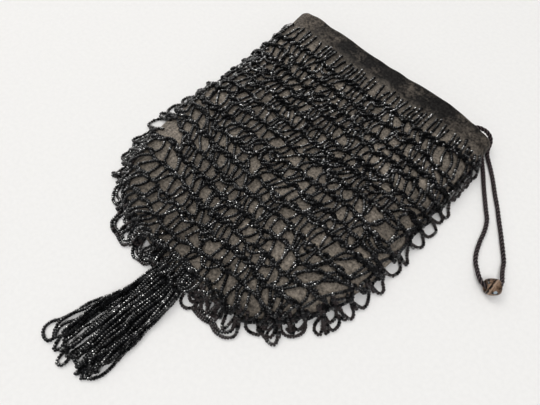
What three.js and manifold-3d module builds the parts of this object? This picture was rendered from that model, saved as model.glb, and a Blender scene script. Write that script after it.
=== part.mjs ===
// Beaded drawstring purse, lying flat on its back with the beaded front up.
// X runs across the purse, Y from the tassel to the mouth, Z up from the table; millimetres.
import * as THREE from "three";
import { mergeVertices } from "three/addons/utils/BufferGeometryUtils.js";
import Module from "manifold-3d";

const wasm = await Module();
wasm.setup();

// ---------------------------------------------------------------- driving sizes
const HALF_WIDTH = 75; // cloth pouch, centre to side seam
const MOUTH_Y = 128; // centre line of the rolled hem
const BEND_Y = 10.7; // the straight sides turn into the rounded bottom here
const BOTTOM_DEPTH = 68; // from there to the bottom seam
const BOTTOM_POWER = 2.3; // how square the rounded bottom is
const WALL = 1.0; // doubled cloth of the pouch
const SEAM = 2.2; // cloth at the side and bottom seams

const HEM_R = 2.3; // rolled hem round the mouth
const HEM_TURN = 4.6; // its turn at the two corners
const HEM_MID = 7.0; // mid height of the mouth
const TUNNEL_R = 1.65; // tunnel for the drawstring inside the hem
const CORD_R = 1.2; // twisted drawstring
const CORD_EXIT_X = 60; // where the drawstring leaves the hem
const CORD_SIDES = 8;

const GAP = 0.3; // clearance between pieces
const NET_TOP_Y = 111; // the bead net begins under the plain band
const NET_T = 2.2; // bead net on the front
const BACK_NET_T = 1.9; // bead net under the back
const BACK_NET_OUT = 1.0; // it reaches this far past the seam

const LOOP_TOP_Y = 104; // first edge loop
const LOOP_PITCH = 9.9; // spacing along the edge, as the courses of the net
const LOOP_WIDTH = 9;
const LOOP_T = 1.8; // one bead string
const LOOP_OUT = 1.4; // root of the loops, past the seam
const LOOP_STOP_X = 13; // the loops leave room for the tassel

const BEAD_HALF = 4.1; // slider bead along its hole
const BEAD_R = 4.5;
const BEAD_HOLE_R = 2.4;

// Sections of the pouch from the mouth down: height of the side seam, rise of the
// front and drop of the back from it, length of the rounded side of each, and how far
// the section follows the drop of the mouth's corners.
const SECTIONS = [
  { y: MOUTH_Y, mid: 7.0, rise: 6.9, drop: 6.9, turnF: 6.9, turnB: 6.9, seam: 1.0, follow: 1.0 },
  { y: 119.0, mid: 6.2, rise: 7.2, drop: 5.0, turnF: 9.0, turnB: 6.0, seam: 1.4, follow: 0.8 },
  { y: 112.5, mid: 5.5, rise: 7.3, drop: 3.3, turnF: 12.0, turnB: 5.0, seam: 1.8, follow: 0.5 },
  { y: 99.0, mid: 4.8, rise: 7.2, drop: 2.6, turnF: 15.0, turnB: 4.5, seam: SEAM, follow: 0.15 },
  { y: 80.0, mid: 4.2, rise: 7.0, drop: 2.0, turnF: 17.0, turnB: 4.0, seam: SEAM, follow: 0 },
  { y: 50.0, mid: 3.8, rise: 6.9, drop: 1.6, turnF: 18.0, turnB: 3.5, seam: SEAM, follow: 0 },
  { y: BEND_Y, mid: 3.6, rise: 6.8, drop: 1.4, turnF: 18.0, turnB: 3.0, seam: SEAM, follow: 0 },
];
const BOTTOM_STEPS = [0.22, 0.42, 0.59, 0.73, 0.84, 0.92, 0.972, 0.998];

// Soft swells and hollows of the front: place, height, spread across and along.
const FOLDS = [
  { x: -56, y: 112, h: 0.7, sx: 15, sy: 12 },
  { x: -4, y: 108, h: -0.8, sx: 34, sy: 10 },
  { x: 50, y: 110, h: 0.5, sx: 14, sy: 11 },
  { x: -30, y: 60, h: 0.5, sx: 22, sy: 24 },
  { x: 28, y: 48, h: -0.4, sx: 20, sy: 26 },
  { x: -6, y: 2, h: -0.3, sx: 26, sy: 18 },
  { x: 34, y: -14, h: 0.4, sx: 16, sy: 16 },
];

// Height of the mouth's edge along the hem, from the left corner to the right one.
const MOUTH_EDGE = [
  { x: -75, y: 124.6 },
  { x: -70, y: 125.8 },
  { x: -63, y: 127.0 },
  { x: -53, y: 126.3 },
  { x: -38, y: 126.8 },
  { x: -20, y: 125.8 },
  { x: -6, y: 126.1 },
  { x: 10, y: 126.6 },
  { x: 24, y: 127.7 },
  { x: 37, y: 128.3 },
  { x: 48, y: 127.7 },
  { x: 62, y: 125.8 },
  { x: 70, y: 124.0 },
  { x: 75, y: 123.5 },
];

// The worn sides are not straight: share by which each side is wider, from the bottom to the mouth.
const SWELL = [
  { y: -58.0, left: 0.22, right: 0.0 },
  { y: -51.0, left: 0.22, right: 0.0 },
  { y: -45.0, left: 0.165, right: 0.0 },
  { y: -37.0, left: 0.12, right: -0.02 },
  { y: -26.0, left: 0.07, right: -0.02 },
  { y: -15.0, left: 0.05, right: 0.005 },
  { y: -4.0, left: 0.042, right: 0.03 },
  { y: 10.7, left: 0.045, right: 0.055 },
  { y: 28.0, left: 0.04, right: 0.06 },
  { y: 50.0, left: 0.015, right: 0.055 },
  { y: 80.0, left: 0.012, right: 0.042 },
  { y: 99.0, left: 0.01, right: 0.044 },
  { y: 112.5, left: 0.005, right: 0.03 },
  { y: 119.0, left: 0.002, right: 0.012 },
  { y: 124.0, left: 0.0, right: 0.0 },
];

// The loose drawstring: out of the back hem, under the right corner, along the table and
// through the slider bead, and back over the corner to the front hem.
const LOOSE_CORD = [
  { x: 60.8, y: 125.9, z: 2.4 },
  { x: 62.3, y: 126.2, z: 2.5 },
  { x: 64.4, y: 127.5, z: 2.6 },
  { x: 66.8, y: 128.4, z: 2.4 },
  { x: 69.3, y: 128.5, z: 2.0 },
  { x: 71.6, y: 127.8, z: 1.7 },
  { x: 73.5, y: 126.2, z: 1.5 },
  { x: 74.9, y: 123.9, z: 1.4 },
  { x: 76.2, y: 121.4, z: 1.4 },
  { x: 78.2, y: 118.6, z: 1.4 },
  { x: 81.3, y: 114.6, z: 1.4 },
  { x: 84.9, y: 109.8, z: 1.4 },
  { x: 90.6, y: 102.0, z: 1.4 },
  { x: 98.7, y: 91.6, z: 1.4 },
  { x: 102.7, y: 86.5, z: 1.4 },
  { x: 105.4, y: 80.2, z: 1.4 },
  { x: 107.4, y: 72.4, z: 1.4 },
  { x: 109.8, y: 65.2, z: 1.4 },
  { x: 112.4, y: 60.6, z: 1.5 },
  { x: 115.3, y: 57.2, z: 2.3 },
  { x: 117.2, y: 54.9, z: 3.2 },
  { x: 119.2, y: 52.8, z: 4.1 },
  { x: 120.8, y: 51.6, z: 4.5 },
  { x: 123.0, y: 51.1, z: 4.6 },
  { x: 125.2, y: 51.5, z: 4.6 },
  { x: 127.1, y: 52.6, z: 4.6 },
  { x: 128.5, y: 54.4, z: 4.6 },
  { x: 129.1, y: 56.5, z: 4.6 },
  { x: 129.0, y: 58.4, z: 4.5 },
  { x: 128.3, y: 60.2, z: 4.2 },
  { x: 127.5, y: 62.0, z: 3.6 },
  { x: 126.4, y: 64.3, z: 2.8 },
  { x: 125.0, y: 67.6, z: 1.9 },
  { x: 123.6, y: 71.1, z: 1.4 },
  { x: 119.0, y: 77.2, z: 1.4 },
  { x: 112.1, y: 85.8, z: 1.4 },
  { x: 107.6, y: 91.2, z: 1.4 },
  { x: 103.6, y: 96.2, z: 1.4 },
  { x: 96.5, y: 104.2, z: 1.4 },
  { x: 90.6, y: 111.2, z: 1.4 },
  { x: 84.9, y: 117.3, z: 1.4 },
  { x: 80.6, y: 121.4, z: 1.5 },
  { x: 78.5, y: 123.4, z: 1.9 },
  { x: 77.1, y: 125.2, z: 2.8 },
  { x: 76.3, y: 127.0, z: 3.8 },
  { x: 75.7, y: 128.6, z: 5.0 },
  { x: 74.7, y: 130.0, z: 6.3 },
  { x: 73.1, y: 130.9, z: 7.7 },
  { x: 70.7, y: 131.1, z: 9.3 },
  { x: 67.9, y: 130.4, z: 10.5 },
  { x: 65.1, y: 129.0, z: 11.3 },
  { x: 63.3, y: 127.6, z: 11.6 },
  { x: 62.0, y: 126.5, z: 11.6 },
  { x: 60.8, y: 125.9, z: 11.6 },
];
const LOOSE_STEPS = 92;
const SLIDER_AT = { x: 126.6, y: 53.2, z: 4.6 };
const SLIDER_AXIS = { x: 0.748, y: 0.664, z: 0 };

// Depth of the edge loops past their root, from the band (0) to the tassel (1).
const LOOP_DEPTH = [
  { at: 0.0, left: 1.9, right: 2.6 },
  { at: 0.13, left: 2.0, right: 3.6 },
  { at: 0.22, left: 2.2, right: 5.2 },
  { at: 0.35, left: 5.2, right: 5.6 },
  { at: 0.7, left: 6.4, right: 6.0 },
  { at: 1.0, left: 7.4, right: 7.4 },
];

// The tassel from its root to the loose ends: middle, half width, height.
const TASSEL = [
  { y: -58.2, x: 0.0, half: 6.4, top: 4.8 },
  { y: -66.0, x: -0.5, half: 10.2, top: 6.0 },
  { y: -76.0, x: -0.3, half: 12.0, top: 6.4 },
  { y: -88.0, x: -1.0, half: 13.8, top: 6.4 },
  { y: -100.0, x: -3.6, half: 16.8, top: 6.2 },
  { y: -114.0, x: -5.8, half: 19.2, top: 5.8 },
  { y: -123.0, x: -6.4, half: 18.8, top: 5.2 },
  { y: -128.0, x: -7.2, half: 14.4, top: 4.6 },
  { y: -130.3, x: -8.2, half: 8.0, top: 4.0 },
];
const TASSEL_SIDES = 22;
const TASSEL_FLOOR = 0.1;
const TASSEL_FLUTE = 0.45; // hollows between the strings

// Column counts round a section of the pouch.
const FRONT_FLAT = 12;
const BACK_FLAT = 12;
const TURN_F = 5;
const TURN_B = 4;
const FRONT_COLUMNS = FRONT_FLAT + 2 * TURN_F; // seam to seam over the front

// ---------------------------------------------------------------- small helpers
const clamp01 = (v) => Math.min(1, Math.max(0, v));
const smooth = (v) => clamp01(v) ** 2 * (3 - 2 * clamp01(v));

function tableAt(rows, key, at, column, ease = clamp01) {
  let i = 0;
  while (i < rows.length - 2 && rows[i + 1][key] < at) i++;
  const a = rows[i], b = rows[i + 1];
  return a[column] + (b[column] - a[column]) * ease((at - a[key]) / (b[key] - a[key]));
}

const widen = (x, y) => x * (1 + tableAt(SWELL, "y", y, x < 0 ? "left" : "right"));
const mouthDrop = (x) => MOUTH_Y - tableAt(MOUTH_EDGE, "x", x, "y", smooth);

function foldAt(x, y) {
  let h = 0;
  for (const f of FOLDS) h += f.h * Math.exp(-(((x - f.x) / f.sx) ** 2) - ((y - f.y) / f.sy) ** 2);
  return h * (1 - smooth((y - 114) / 12));
}

function meshFrom(vertices, triangles) {
  let volume = 0;
  for (const [a, b, c] of triangles) {
    const p = vertices[a], q = vertices[b], r = vertices[c];
    volume += p[0] * (q[1] * r[2] - q[2] * r[1]) - p[1] * (q[0] * r[2] - q[2] * r[0]) + p[2] * (q[0] * r[1] - q[1] * r[0]);
  }
  const geometry = new THREE.BufferGeometry();
  geometry.setAttribute("position", new THREE.Float32BufferAttribute(vertices.flat(), 3));
  geometry.setIndex(triangles.flatMap(([a, b, c]) => (volume < 0 ? [a, c, b] : [a, b, c])));
  return geometry;
}

// A closed skin over a row of rings with the same number of points, capped at both ends.
function loft(rings) {
  const n = rings[0].length;
  const vertices = rings.flat();
  const triangles = [];
  for (let k = 0; k + 1 < rings.length; k++)
    for (let j = 0; j < n; j++) {
      const a = k * n + j, b = k * n + ((j + 1) % n), c = a + n, d = b + n;
      triangles.push([a, b, d], [a, d, c]);
    }
  for (const [ring, flip] of [[0, true], [rings.length - 1, false]]) {
    const mid = [0, 1, 2].map((i) => rings[ring].reduce((s, p) => s + p[i], 0) / n);
    const centre = vertices.push(mid) - 1;
    for (let j = 0; j < n; j++) {
      const a = ring * n + j, b = ring * n + ((j + 1) % n);
      triangles.push(flip ? [a, centre, b] : [a, b, centre]);
    }
  }
  return meshFrom(vertices, triangles);
}

// A round rod along a row of points, with frames carried from point to point.
function rod(points, radius, sides) {
  const tangent = points.map((p, i) => {
    const a = points[Math.max(0, i - 1)], b = points[Math.min(points.length - 1, i + 1)];
    return b.clone().sub(a).normalize();
  });
  let across = new THREE.Vector3(0, 0, 1);
  const rings = points.map((p, i) => {
    across = across.clone().addScaledVector(tangent[i], -across.dot(tangent[i])).normalize();
    const other = tangent[i].clone().cross(across);
    return Array.from({ length: sides }, (_, k) => {
      const turn = ((k + 0.5) / sides) * 2 * Math.PI;
      const q = p.clone().addScaledVector(across, radius * Math.cos(turn)).addScaledVector(other, radius * Math.sin(turn));
      return [q.x, q.y, q.z];
    });
  });
  return loft(rings);
}

function toSolid(geometry) {
  const g = mergeVertices(geometry.clone());
  return new wasm.Manifold(new wasm.Mesh({
    numProp: 3,
    vertProperties: Float32Array.from(g.attributes.position.array),
    triVerts: Uint32Array.from(g.index.array),
  }));
}

function fromSolid(solid) {
  const m = solid.getMesh();
  const g = new THREE.BufferGeometry();
  const p = [];
  for (let i = 0; i < m.numVert; i++) p.push(...m.vertProperties.slice(i * m.numProp, i * m.numProp + 3));
  g.setAttribute("position", new THREE.Float32BufferAttribute(p, 3));
  g.setIndex(Array.from(m.triVerts));
  return g;
}

// ---------------------------------------------------------------- the pouch
const bottomHalf = (t) => HALF_WIDTH * (1 - t ** BOTTOM_POWER) ** (1 / BOTTOM_POWER);

// All rows of the pouch: those of the table and those of the rounded bottom.
const ROWS = [
  ...SECTIONS.map((s) => ({ ...s, t: 0, half: HALF_WIDTH })),
  ...BOTTOM_STEPS.map((t) => {
    const half = bottomHalf(t), last = SECTIONS[SECTIONS.length - 1];
    return {
      y: BEND_Y - BOTTOM_DEPTH * t, t, half, mid: last.mid,
      rise: 1.3 + (last.rise - 1.3) * Math.sqrt(1 - t ** 4), drop: last.drop,
      turnF: Math.min(last.turnF, 0.75 * half), turnB: Math.min(last.turnB, 0.4 * half),
      seam: SEAM, follow: 0,
    };
  }),
];

// One section as a closed row of columns; grow is positive outside the cloth.
function section(row, grow, side = grow) {
  const half = row.half + side, rise = row.rise + grow, drop = row.drop + grow;
  const turnF = Math.max(0.6, row.turnF + side), turnB = Math.max(0.5, row.turnB + side);
  const y0 = row.y - side * row.t ** 4;
  const out = [];
  const put = (x, z, up) => {
    const y = y0 - mouthDrop(x) * row.follow;
    out.push([widen(x, y0), y, z + foldAt(x, y0) * Math.max(0, up)]);
  };
  const quarter = (n, i) => ((i / n) * Math.PI) / 2;
  for (let i = 0; i < TURN_F; i++) {
    const a = quarter(TURN_F, i);
    put(half - turnF + turnF * Math.cos(a), row.mid + rise * Math.sin(a), Math.sin(a));
  }
  for (let i = 0; i <= FRONT_FLAT; i++) put((half - turnF) * (1 - (2 * i) / FRONT_FLAT), row.mid + rise, 1);
  for (let i = 1; i <= TURN_F; i++) {
    const a = quarter(TURN_F, i);
    put(-(half - turnF) - turnF * Math.sin(a), row.mid + rise * Math.cos(a), Math.cos(a));
  }
  for (let i = 1; i <= TURN_B; i++) {
    const a = quarter(TURN_B, i);
    put(-(half - turnB) - turnB * Math.cos(a), row.mid - drop * Math.sin(a), 0);
  }
  for (let i = 1; i <= BACK_FLAT; i++) put((half - turnB) * ((2 * i) / BACK_FLAT - 1), row.mid - drop, 0);
  for (let i = 1; i < TURN_B; i++) {
    const a = quarter(TURN_B, i);
    put(half - turnB + turnB * Math.sin(a), row.mid - drop * Math.cos(a), 0);
  }
  return out;
}

// The rolled hem: outer face, over the top and down the inside to the wall again.
const hemOuter = section(ROWS[0], 0);
const hemCentre = section({ ...ROWS[0] }, -HEM_R);
const HEM_TURNS = [0, 45, 90, 135, 180, 225, 265, 304].map((d) => (d * Math.PI) / 180);
const hemRings = HEM_TURNS.map((turn) =>
  hemCentre.map((c, j) => {
    const o = hemOuter[j];
    const y = MOUTH_Y - mouthDrop(c[0]);
    return [c[0] + (o[0] - c[0]) * Math.cos(turn), y + HEM_R * Math.sin(turn), c[2] + (o[2] - c[2]) * Math.cos(turn)];
  }),
);
const outside = ROWS.slice(1).reverse().map((row) => section(row, 0));
const inside = ROWS.slice(1).map((row) => section(row, -WALL, -row.seam));
const pouchBlank = toSolid(loft([...outside, ...hemRings, ...inside]));

// ---------------------------------------------------------------- the drawstring
const looseCurve = new THREE.CatmullRomCurve3(LOOSE_CORD.map((p) => new THREE.Vector3(p.x, p.y, p.z)), false, "centripetal");
const loosePoints = looseCurve.getSpacedPoints(LOOSE_STEPS);

// Inside the hem: along the front to the left corner, round it, and back along the rear.
const hemPoint = (x, z) => new THREE.Vector3(x, MOUTH_Y - mouthDrop(x), z);
const turnX = HALF_WIDTH - HEM_R - HEM_TURN;
const heldPoints = [];
const FRONT_RUN = [CORD_EXIT_X, ...Array.from({ length: FRONT_FLAT }, (_, i) => turnX * (1 - (2 * i) / FRONT_FLAT)).slice(1), -63];
for (const x of FRONT_RUN) heldPoints.push(hemPoint(x, HEM_MID + HEM_TURN));
for (let i = 0; i <= 8; i++) {
  const a = (i / 8) * Math.PI;
  heldPoints.push(hemPoint(-turnX - HEM_TURN * Math.sin(a), HEM_MID + HEM_TURN * Math.cos(a)));
}
for (const x of [...FRONT_RUN].reverse()) heldPoints.push(hemPoint(x, HEM_MID - HEM_TURN));

const EXIT_STEPS = 5; // the tunnel follows the cord this many steps out of the hem
const tunnelPath = [
  ...loosePoints.slice(-EXIT_STEPS - 1),
  ...heldPoints.slice(1, -1),
  ...loosePoints.slice(0, EXIT_STEPS + 1),
];
const pouch = pouchBlank.subtract(toSolid(rod(tunnelPath, TUNNEL_R, 10)));

// ---------------------------------------------------------------- bead nets
// Front: a sheet over the cloth from the band to the bottom seam.
function frontNet() {
  const top = { ...ROWS[2] };
  const blend = clamp01((NET_TOP_Y - ROWS[3].y) / (ROWS[2].y - ROWS[3].y));
  for (const key of ["y", "mid", "rise", "drop", "turnF", "turnB", "follow"]) top[key] = ROWS[3][key] + (ROWS[2][key] - ROWS[3][key]) * blend;
  const rows = [top, ...ROWS.slice(3)];
  const rings = rows.map((row) => {
    const low = section(row, GAP).slice(0, FRONT_COLUMNS + 1);
    const high = section(row, GAP + NET_T).slice(0, FRONT_COLUMNS + 1);
    return [...high, ...low.reverse()];
  });
  const n = rings[0].length;
  const vertices = rings.flat();
  const triangles = [];
  for (let k = 0; k + 1 < rings.length; k++)
    for (let j = 0; j < n; j++) {
      const a = k * n + j, b = k * n + ((j + 1) % n), c = a + n, d = b + n;
      triangles.push([a, b, d], [a, d, c]);
    }
  for (const [ring, flip] of [[0, true], [rings.length - 1, false]])
    for (let j = 0; j < FRONT_COLUMNS; j++) {
      const a = ring * n + j, b = a + 1, c = ring * n + (n - 1 - j), d = c - 1;
      triangles.push(...(flip ? [[a, d, b], [a, c, d]] : [[a, b, d], [a, d, c]]));
    }
  return meshFrom(vertices, triangles);
}

// One edge of the pouch from the band round to the bottom, moved out by a distance.
const EDGE_STEPS = 10;
function edgeLine(fromY, out, stopX, side) {
  const line = Array.from({ length: EDGE_STEPS + 1 }, (_, i) => [HALF_WIDTH + out, fromY + ((BEND_Y - fromY) * i) / EDGE_STEPS]);
  for (let i = 1; i <= 40; i++) {
    const a = ((i / 40) * Math.PI) / 2;
    const t = Math.sin(a) ** (2 / BOTTOM_POWER), w = Math.cos(a) ** (2 / BOTTOM_POWER);
    const gx = w ** (BOTTOM_POWER - 1) / HALF_WIDTH, gy = t ** (BOTTOM_POWER - 1) / BOTTOM_DEPTH, g = Math.hypot(gx, gy);
    const x = HALF_WIDTH * w + (out * gx) / g;
    if (x < stopX) break;
    line.push([x, BEND_Y - BOTTOM_DEPTH * t - (out * gy) / g]);
  }
  return line.map(([x, y]) => [Math.abs(widen(side * x, y)), y]);
}

function alongLine(line, at) {
  let rest = at, i = 0;
  for (; i < line.length - 2; i++) {
    const step = Math.hypot(line[i + 1][0] - line[i][0], line[i + 1][1] - line[i][1]);
    if (rest <= step) break;
    rest -= step;
  }
  const [a, b] = [line[i], line[i + 1]], step = Math.hypot(b[0] - a[0], b[1] - a[1]);
  const d = [(b[0] - a[0]) / step, (b[1] - a[1]) / step];
  return { p: [a[0] + d[0] * rest, a[1] + d[1] * rest], d, n: [-d[1], d[0]] };
}

const lineLength = (line) => line.slice(1).reduce((s, p, i) => s + Math.hypot(p[0] - line[i][0], p[1] - line[i][1]), 0);

function plate(shape, bottom, thickness) {
  const g = new THREE.ExtrudeGeometry(shape, { depth: thickness, bevelEnabled: false, curveSegments: 1 });
  g.translate(0, 0, bottom);
  g.deleteAttribute("normal");
  g.deleteAttribute("uv");
  return mergeVertices(g);
}

function backNet() {
  const [right, left] = [1, -1].map((side) =>
    edgeLine(NET_TOP_Y, BACK_NET_OUT, 0, side)
      .filter((_, i) => i <= EDGE_STEPS || (i - EDGE_STEPS) % 3 === 2)
      .map(([x, y]) => new THREE.Vector2(side * x, y)),
  );
  return plate(new THREE.Shape([...right, ...left.reverse()]), 0, BACK_NET_T);
}

// Loops of beads standing out past the seam, joined along their roots.
function edgeLoops(side) {
  const line = edgeLine(LOOP_TOP_Y, LOOP_OUT, LOOP_STOP_X, side);
  const length = lineLength(line), count = Math.floor(length / LOOP_PITCH), pitch = length / count;
  const at = (s, out) => {
    const q = alongLine(line, s);
    return new THREE.Vector2(side * (q.p[0] + q.n[0] * out), q.p[1] + q.n[1] * out);
  };
  const sign = alongLine(line, 1).n[0] > 0 ? 1 : -1;
  const outer = [], inner = [], holes = [];
  for (let k = 0; k < count; k++) {
    const mid = (k + 0.5) * pitch, depth = tableAt(LOOP_DEPTH, "at", mid / length, side < 0 ? "left" : "right");
    for (let i = 0; i <= 8; i++) {
      const a = (i / 8) * Math.PI;
      outer.push(at(mid - (LOOP_WIDTH / 2) * Math.cos(a), sign * (1.0 + (depth - 1.0) * Math.sin(a) ** 0.8)));
    }
    const reach = depth / 2 - LOOP_T * 0.75;
    if (reach > 0.8) {
      const ring = [];
      for (let i = 0; i < 8; i++) {
        const a = (i / 8) * 2 * Math.PI;
        ring.push(at(mid + (LOOP_WIDTH / 2 - LOOP_T - 0.4) * Math.cos(a), sign * (depth / 2 + 0.2 + reach * Math.sin(a))));
      }
      holes.push(ring);
    }
  }
  for (let k = 0; k <= count * 2; k++) inner.push(at((k * pitch) / 2, 0));
  const shape = new THREE.Shape([...outer, ...inner.reverse()]);
  for (const ring of holes) shape.holes.push(new THREE.Path(ring));
  return plate(shape, 0.05, LOOP_T);
}

// ---------------------------------------------------------------- the tassel
function tassel() {
  return loft(TASSEL.map((row, k) => Array.from({ length: TASSEL_SIDES }, (_, i) => {
    const a = (i / TASSEL_SIDES) * 2 * Math.PI, c = Math.cos(a), s = Math.sin(a);
    const flute = s > 0.1 && i % 2 ? TASSEL_FLUTE : 0;
    const mid = (row.top + TASSEL_FLOOR) / 2, half = (row.top - TASSEL_FLOOR) / 2;
    return [
      row.x + row.half * Math.sign(c) * Math.abs(c) ** 0.7,
      row.y,
      mid + half * Math.sign(s) * Math.abs(s) ** 0.7 - flute,
    ];
  })));
}

// ---------------------------------------------------------------- the slider bead
function sliderBead() {
  const profile = [];
  const lip = 0.6;
  for (let i = 0; i <= 10; i++) {
    const a = -Math.PI / 2 + (i / 10) * Math.PI;
    const along = BEAD_HALF * Math.sin(a);
    const out = BEAD_HOLE_R + lip + (BEAD_R - BEAD_HOLE_R - lip) * Math.cos(a) ** 0.75;
    profile.push(new THREE.Vector2(out, along));
  }
  profile.push(new THREE.Vector2(BEAD_HOLE_R, BEAD_HALF - lip), new THREE.Vector2(BEAD_HOLE_R, -BEAD_HALF + lip));
  profile.push(profile[0].clone());
  const g = new THREE.LatheGeometry(profile, 20);
  const turn = new THREE.Quaternion().setFromUnitVectors(
    new THREE.Vector3(0, 1, 0),
    new THREE.Vector3(SLIDER_AXIS.x, SLIDER_AXIS.y, SLIDER_AXIS.z).normalize(),
  );
  g.applyQuaternion(turn);
  g.translate(SLIDER_AT.x, SLIDER_AT.y, SLIDER_AT.z);
  g.deleteAttribute("normal");
  g.deleteAttribute("uv");
  return mergeVertices(g, 1e-4);
}

// ---------------------------------------------------------------- assembly
const purse = new THREE.Group();
purse.name = "beaded_purse";
function add(name, geometry, color, roughness) {
  geometry.computeVertexNormals();
  const mesh = new THREE.Mesh(geometry, new THREE.MeshStandardMaterial({ color, roughness, metalness: 0 }));
  mesh.name = name;
  purse.add(mesh);
}

add("pouch", fromSolid(pouch), 0x3c352e, 0.7);
add("bead_net_front", frontNet(), 0x0b0b0c, 0.2);
add("bead_net_back", backNet(), 0x0c0c0d, 0.2);
add("edge_loops_left", edgeLoops(-1), 0x0d0d0e, 0.2);
add("edge_loops_right", edgeLoops(1), 0x0d0d0f, 0.2);
add("tassel", tassel(), 0x0a0a0b, 0.2);
add("drawstring_in_hem", rod(heldPoints, CORD_R, CORD_SIDES), 0x1a1414, 0.8);
add("drawstring_loop", rod(loosePoints, CORD_R, CORD_SIDES), 0x1c1515, 0.8);
add("slider_bead", sliderBead(), 0x5a3420, 0.25);

export default purse;
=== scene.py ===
# Beaded drawstring purse lying on a pale table: cloth pouch, bead net, edge loops, tassel, drawstring.
import math

import bpy
import numpy as np
from mathutils import Matrix, Vector


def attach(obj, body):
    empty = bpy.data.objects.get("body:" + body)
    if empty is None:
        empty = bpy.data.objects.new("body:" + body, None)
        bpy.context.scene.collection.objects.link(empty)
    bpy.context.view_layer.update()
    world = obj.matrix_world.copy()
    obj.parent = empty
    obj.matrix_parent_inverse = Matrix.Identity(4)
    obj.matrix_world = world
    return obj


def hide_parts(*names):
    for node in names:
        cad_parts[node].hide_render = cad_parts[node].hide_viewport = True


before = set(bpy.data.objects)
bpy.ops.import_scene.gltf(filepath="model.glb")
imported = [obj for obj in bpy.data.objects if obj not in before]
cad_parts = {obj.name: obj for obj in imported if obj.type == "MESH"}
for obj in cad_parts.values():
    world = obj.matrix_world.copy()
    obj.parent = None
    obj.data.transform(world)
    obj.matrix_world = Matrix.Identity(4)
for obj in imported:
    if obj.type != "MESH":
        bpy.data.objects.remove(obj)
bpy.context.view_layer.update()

MM = 0.001  # all shapes below are worked out in millimetres

# ------------------------------------------------------------------ camera
CAMERA_AT = (104.84, -92.77, 272.42)
CAMERA_LOOKS = (-0.32199, 0.33311, -0.88620)

camera_data = bpy.data.cameras.new("camera")
camera_data.sensor_fit = "HORIZONTAL"
camera_data.sensor_width = 36.0
camera_data.lens = 36.0 * 530.0 / 540.0
camera_data.clip_start = 0.01
camera = bpy.data.objects.new("camera", camera_data)
back = -Vector(CAMERA_LOOKS).normalized()
right = Vector((0, 0, 1)).cross(back).normalized()
up = back.cross(right)
camera.matrix_world = Matrix.Translation(Vector(CAMERA_AT) * MM) @ Matrix((right, up, back)).transposed().to_4x4()
bpy.context.scene.collection.objects.link(camera)
bpy.context.scene.camera = camera


# ------------------------------------------------------------------ small helpers
def smooth01(v):
    v = np.clip(v, 0.0, 1.0)
    return v * v * (3 - 2 * v)


def catmull(points, per=8):
    """A smooth line through the points."""
    p = np.asarray(points, float)
    if len(p) < 3:
        return np.linspace(p[0], p[-1], per + 1)
    p = np.vstack([2 * p[0] - p[1], p, 2 * p[-1] - p[-2]])
    d = np.maximum(np.linalg.norm(np.diff(p, axis=0), axis=1), 1e-4) ** 0.5
    t0 = np.zeros(len(p) - 3)
    t1 = d[:-2]
    t2 = t1 + d[1:-1]
    t3 = t2 + d[2:]
    f = np.linspace(0, 1, per, endpoint=False)
    t = (t1[:, None] + (t2 - t1)[:, None] * f)[..., None]
    t0, t1, t2, t3 = (v[:, None, None] for v in (t0, t1, t2, t3))
    p0, p1, p2, p3 = (p[i : len(p) - 3 + i][:, None] for i in range(4))
    a1 = (t1 - t) / (t1 - t0) * p0 + (t - t0) / (t1 - t0) * p1
    a2 = (t2 - t) / (t2 - t1) * p1 + (t - t1) / (t2 - t1) * p2
    a3 = (t3 - t) / (t3 - t2) * p2 + (t - t2) / (t3 - t2) * p3
    b1 = (t2 - t) / (t2 - t0) * a1 + (t - t0) / (t2 - t0) * a2
    b2 = (t3 - t) / (t3 - t1) * a2 + (t - t1) / (t3 - t1) * a3
    c = (t2 - t) / (t2 - t1) * b1 + (t - t1) / (t2 - t1) * b2
    return np.vstack([c.reshape(-1, p.shape[1]), p[-2][None]])


def along(path):
    return np.concatenate([[0.0], np.cumsum(np.linalg.norm(np.diff(path, axis=0), axis=1))])


def resample(path, step):
    s = along(path)
    n = max(2, int(round(s[-1] / step)) + 1)
    at = np.linspace(0, s[-1], n)
    return np.stack([np.interp(at, s, path[:, i]) for i in range(path.shape[1])], 1)


def wave(seed, low, high, count=5):
    """A smooth random line of about unit height, with wavelengths from low to high."""
    r = np.random.default_rng(seed)
    length = r.uniform(low, high, count)
    phase = r.uniform(0, 2 * math.pi, count)
    return lambda v: sum(np.sin(2 * math.pi * np.asarray(v) / l + q) for l, q in zip(length, phase)) / count**0.5


def make_mesh(name, verts, faces, material=None, smooth=True):
    """verts in mm; faces an array of quads or a list of index lists."""
    mesh = bpy.data.meshes.new(name)
    sizes = np.array([len(f) for f in faces])
    loops = np.concatenate([np.asarray(f) for f in faces]) if not isinstance(faces, np.ndarray) else faces.reshape(-1)
    mesh.vertices.add(len(verts))
    mesh.vertices.foreach_set("co", (np.asarray(verts) * MM).astype(np.float32).ravel())
    mesh.loops.add(len(loops))
    mesh.loops.foreach_set("vertex_index", loops.astype(np.int32))
    mesh.polygons.add(len(sizes))
    mesh.polygons.foreach_set("loop_start", np.concatenate([[0], np.cumsum(sizes)[:-1]]).astype(np.int32))
    mesh.polygons.foreach_set("use_smooth", np.full(len(sizes), smooth))
    mesh.update(calc_edges=True)
    mesh.validate()
    obj = bpy.data.objects.new(name, mesh)
    bpy.context.scene.collection.objects.link(obj)
    if material:
        mesh.materials.append(material)
    return obj


def grid_faces(rows, cols, closed=False):
    n = cols if closed else cols - 1
    k, j = np.meshgrid(np.arange(rows - 1), np.arange(n), indexing="ij")
    a = k * cols + j
    b = k * cols + (j + 1) % cols
    return np.stack([a, b, b + cols, a + cols], -1).reshape(-1, 4)


# ------------------------------------------------------------------ materials
def node_material(name):
    m = bpy.data.materials.new(name)
    m.use_nodes = True
    tree = m.node_tree
    return m, tree, tree.nodes["Principled BSDF"]


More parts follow.
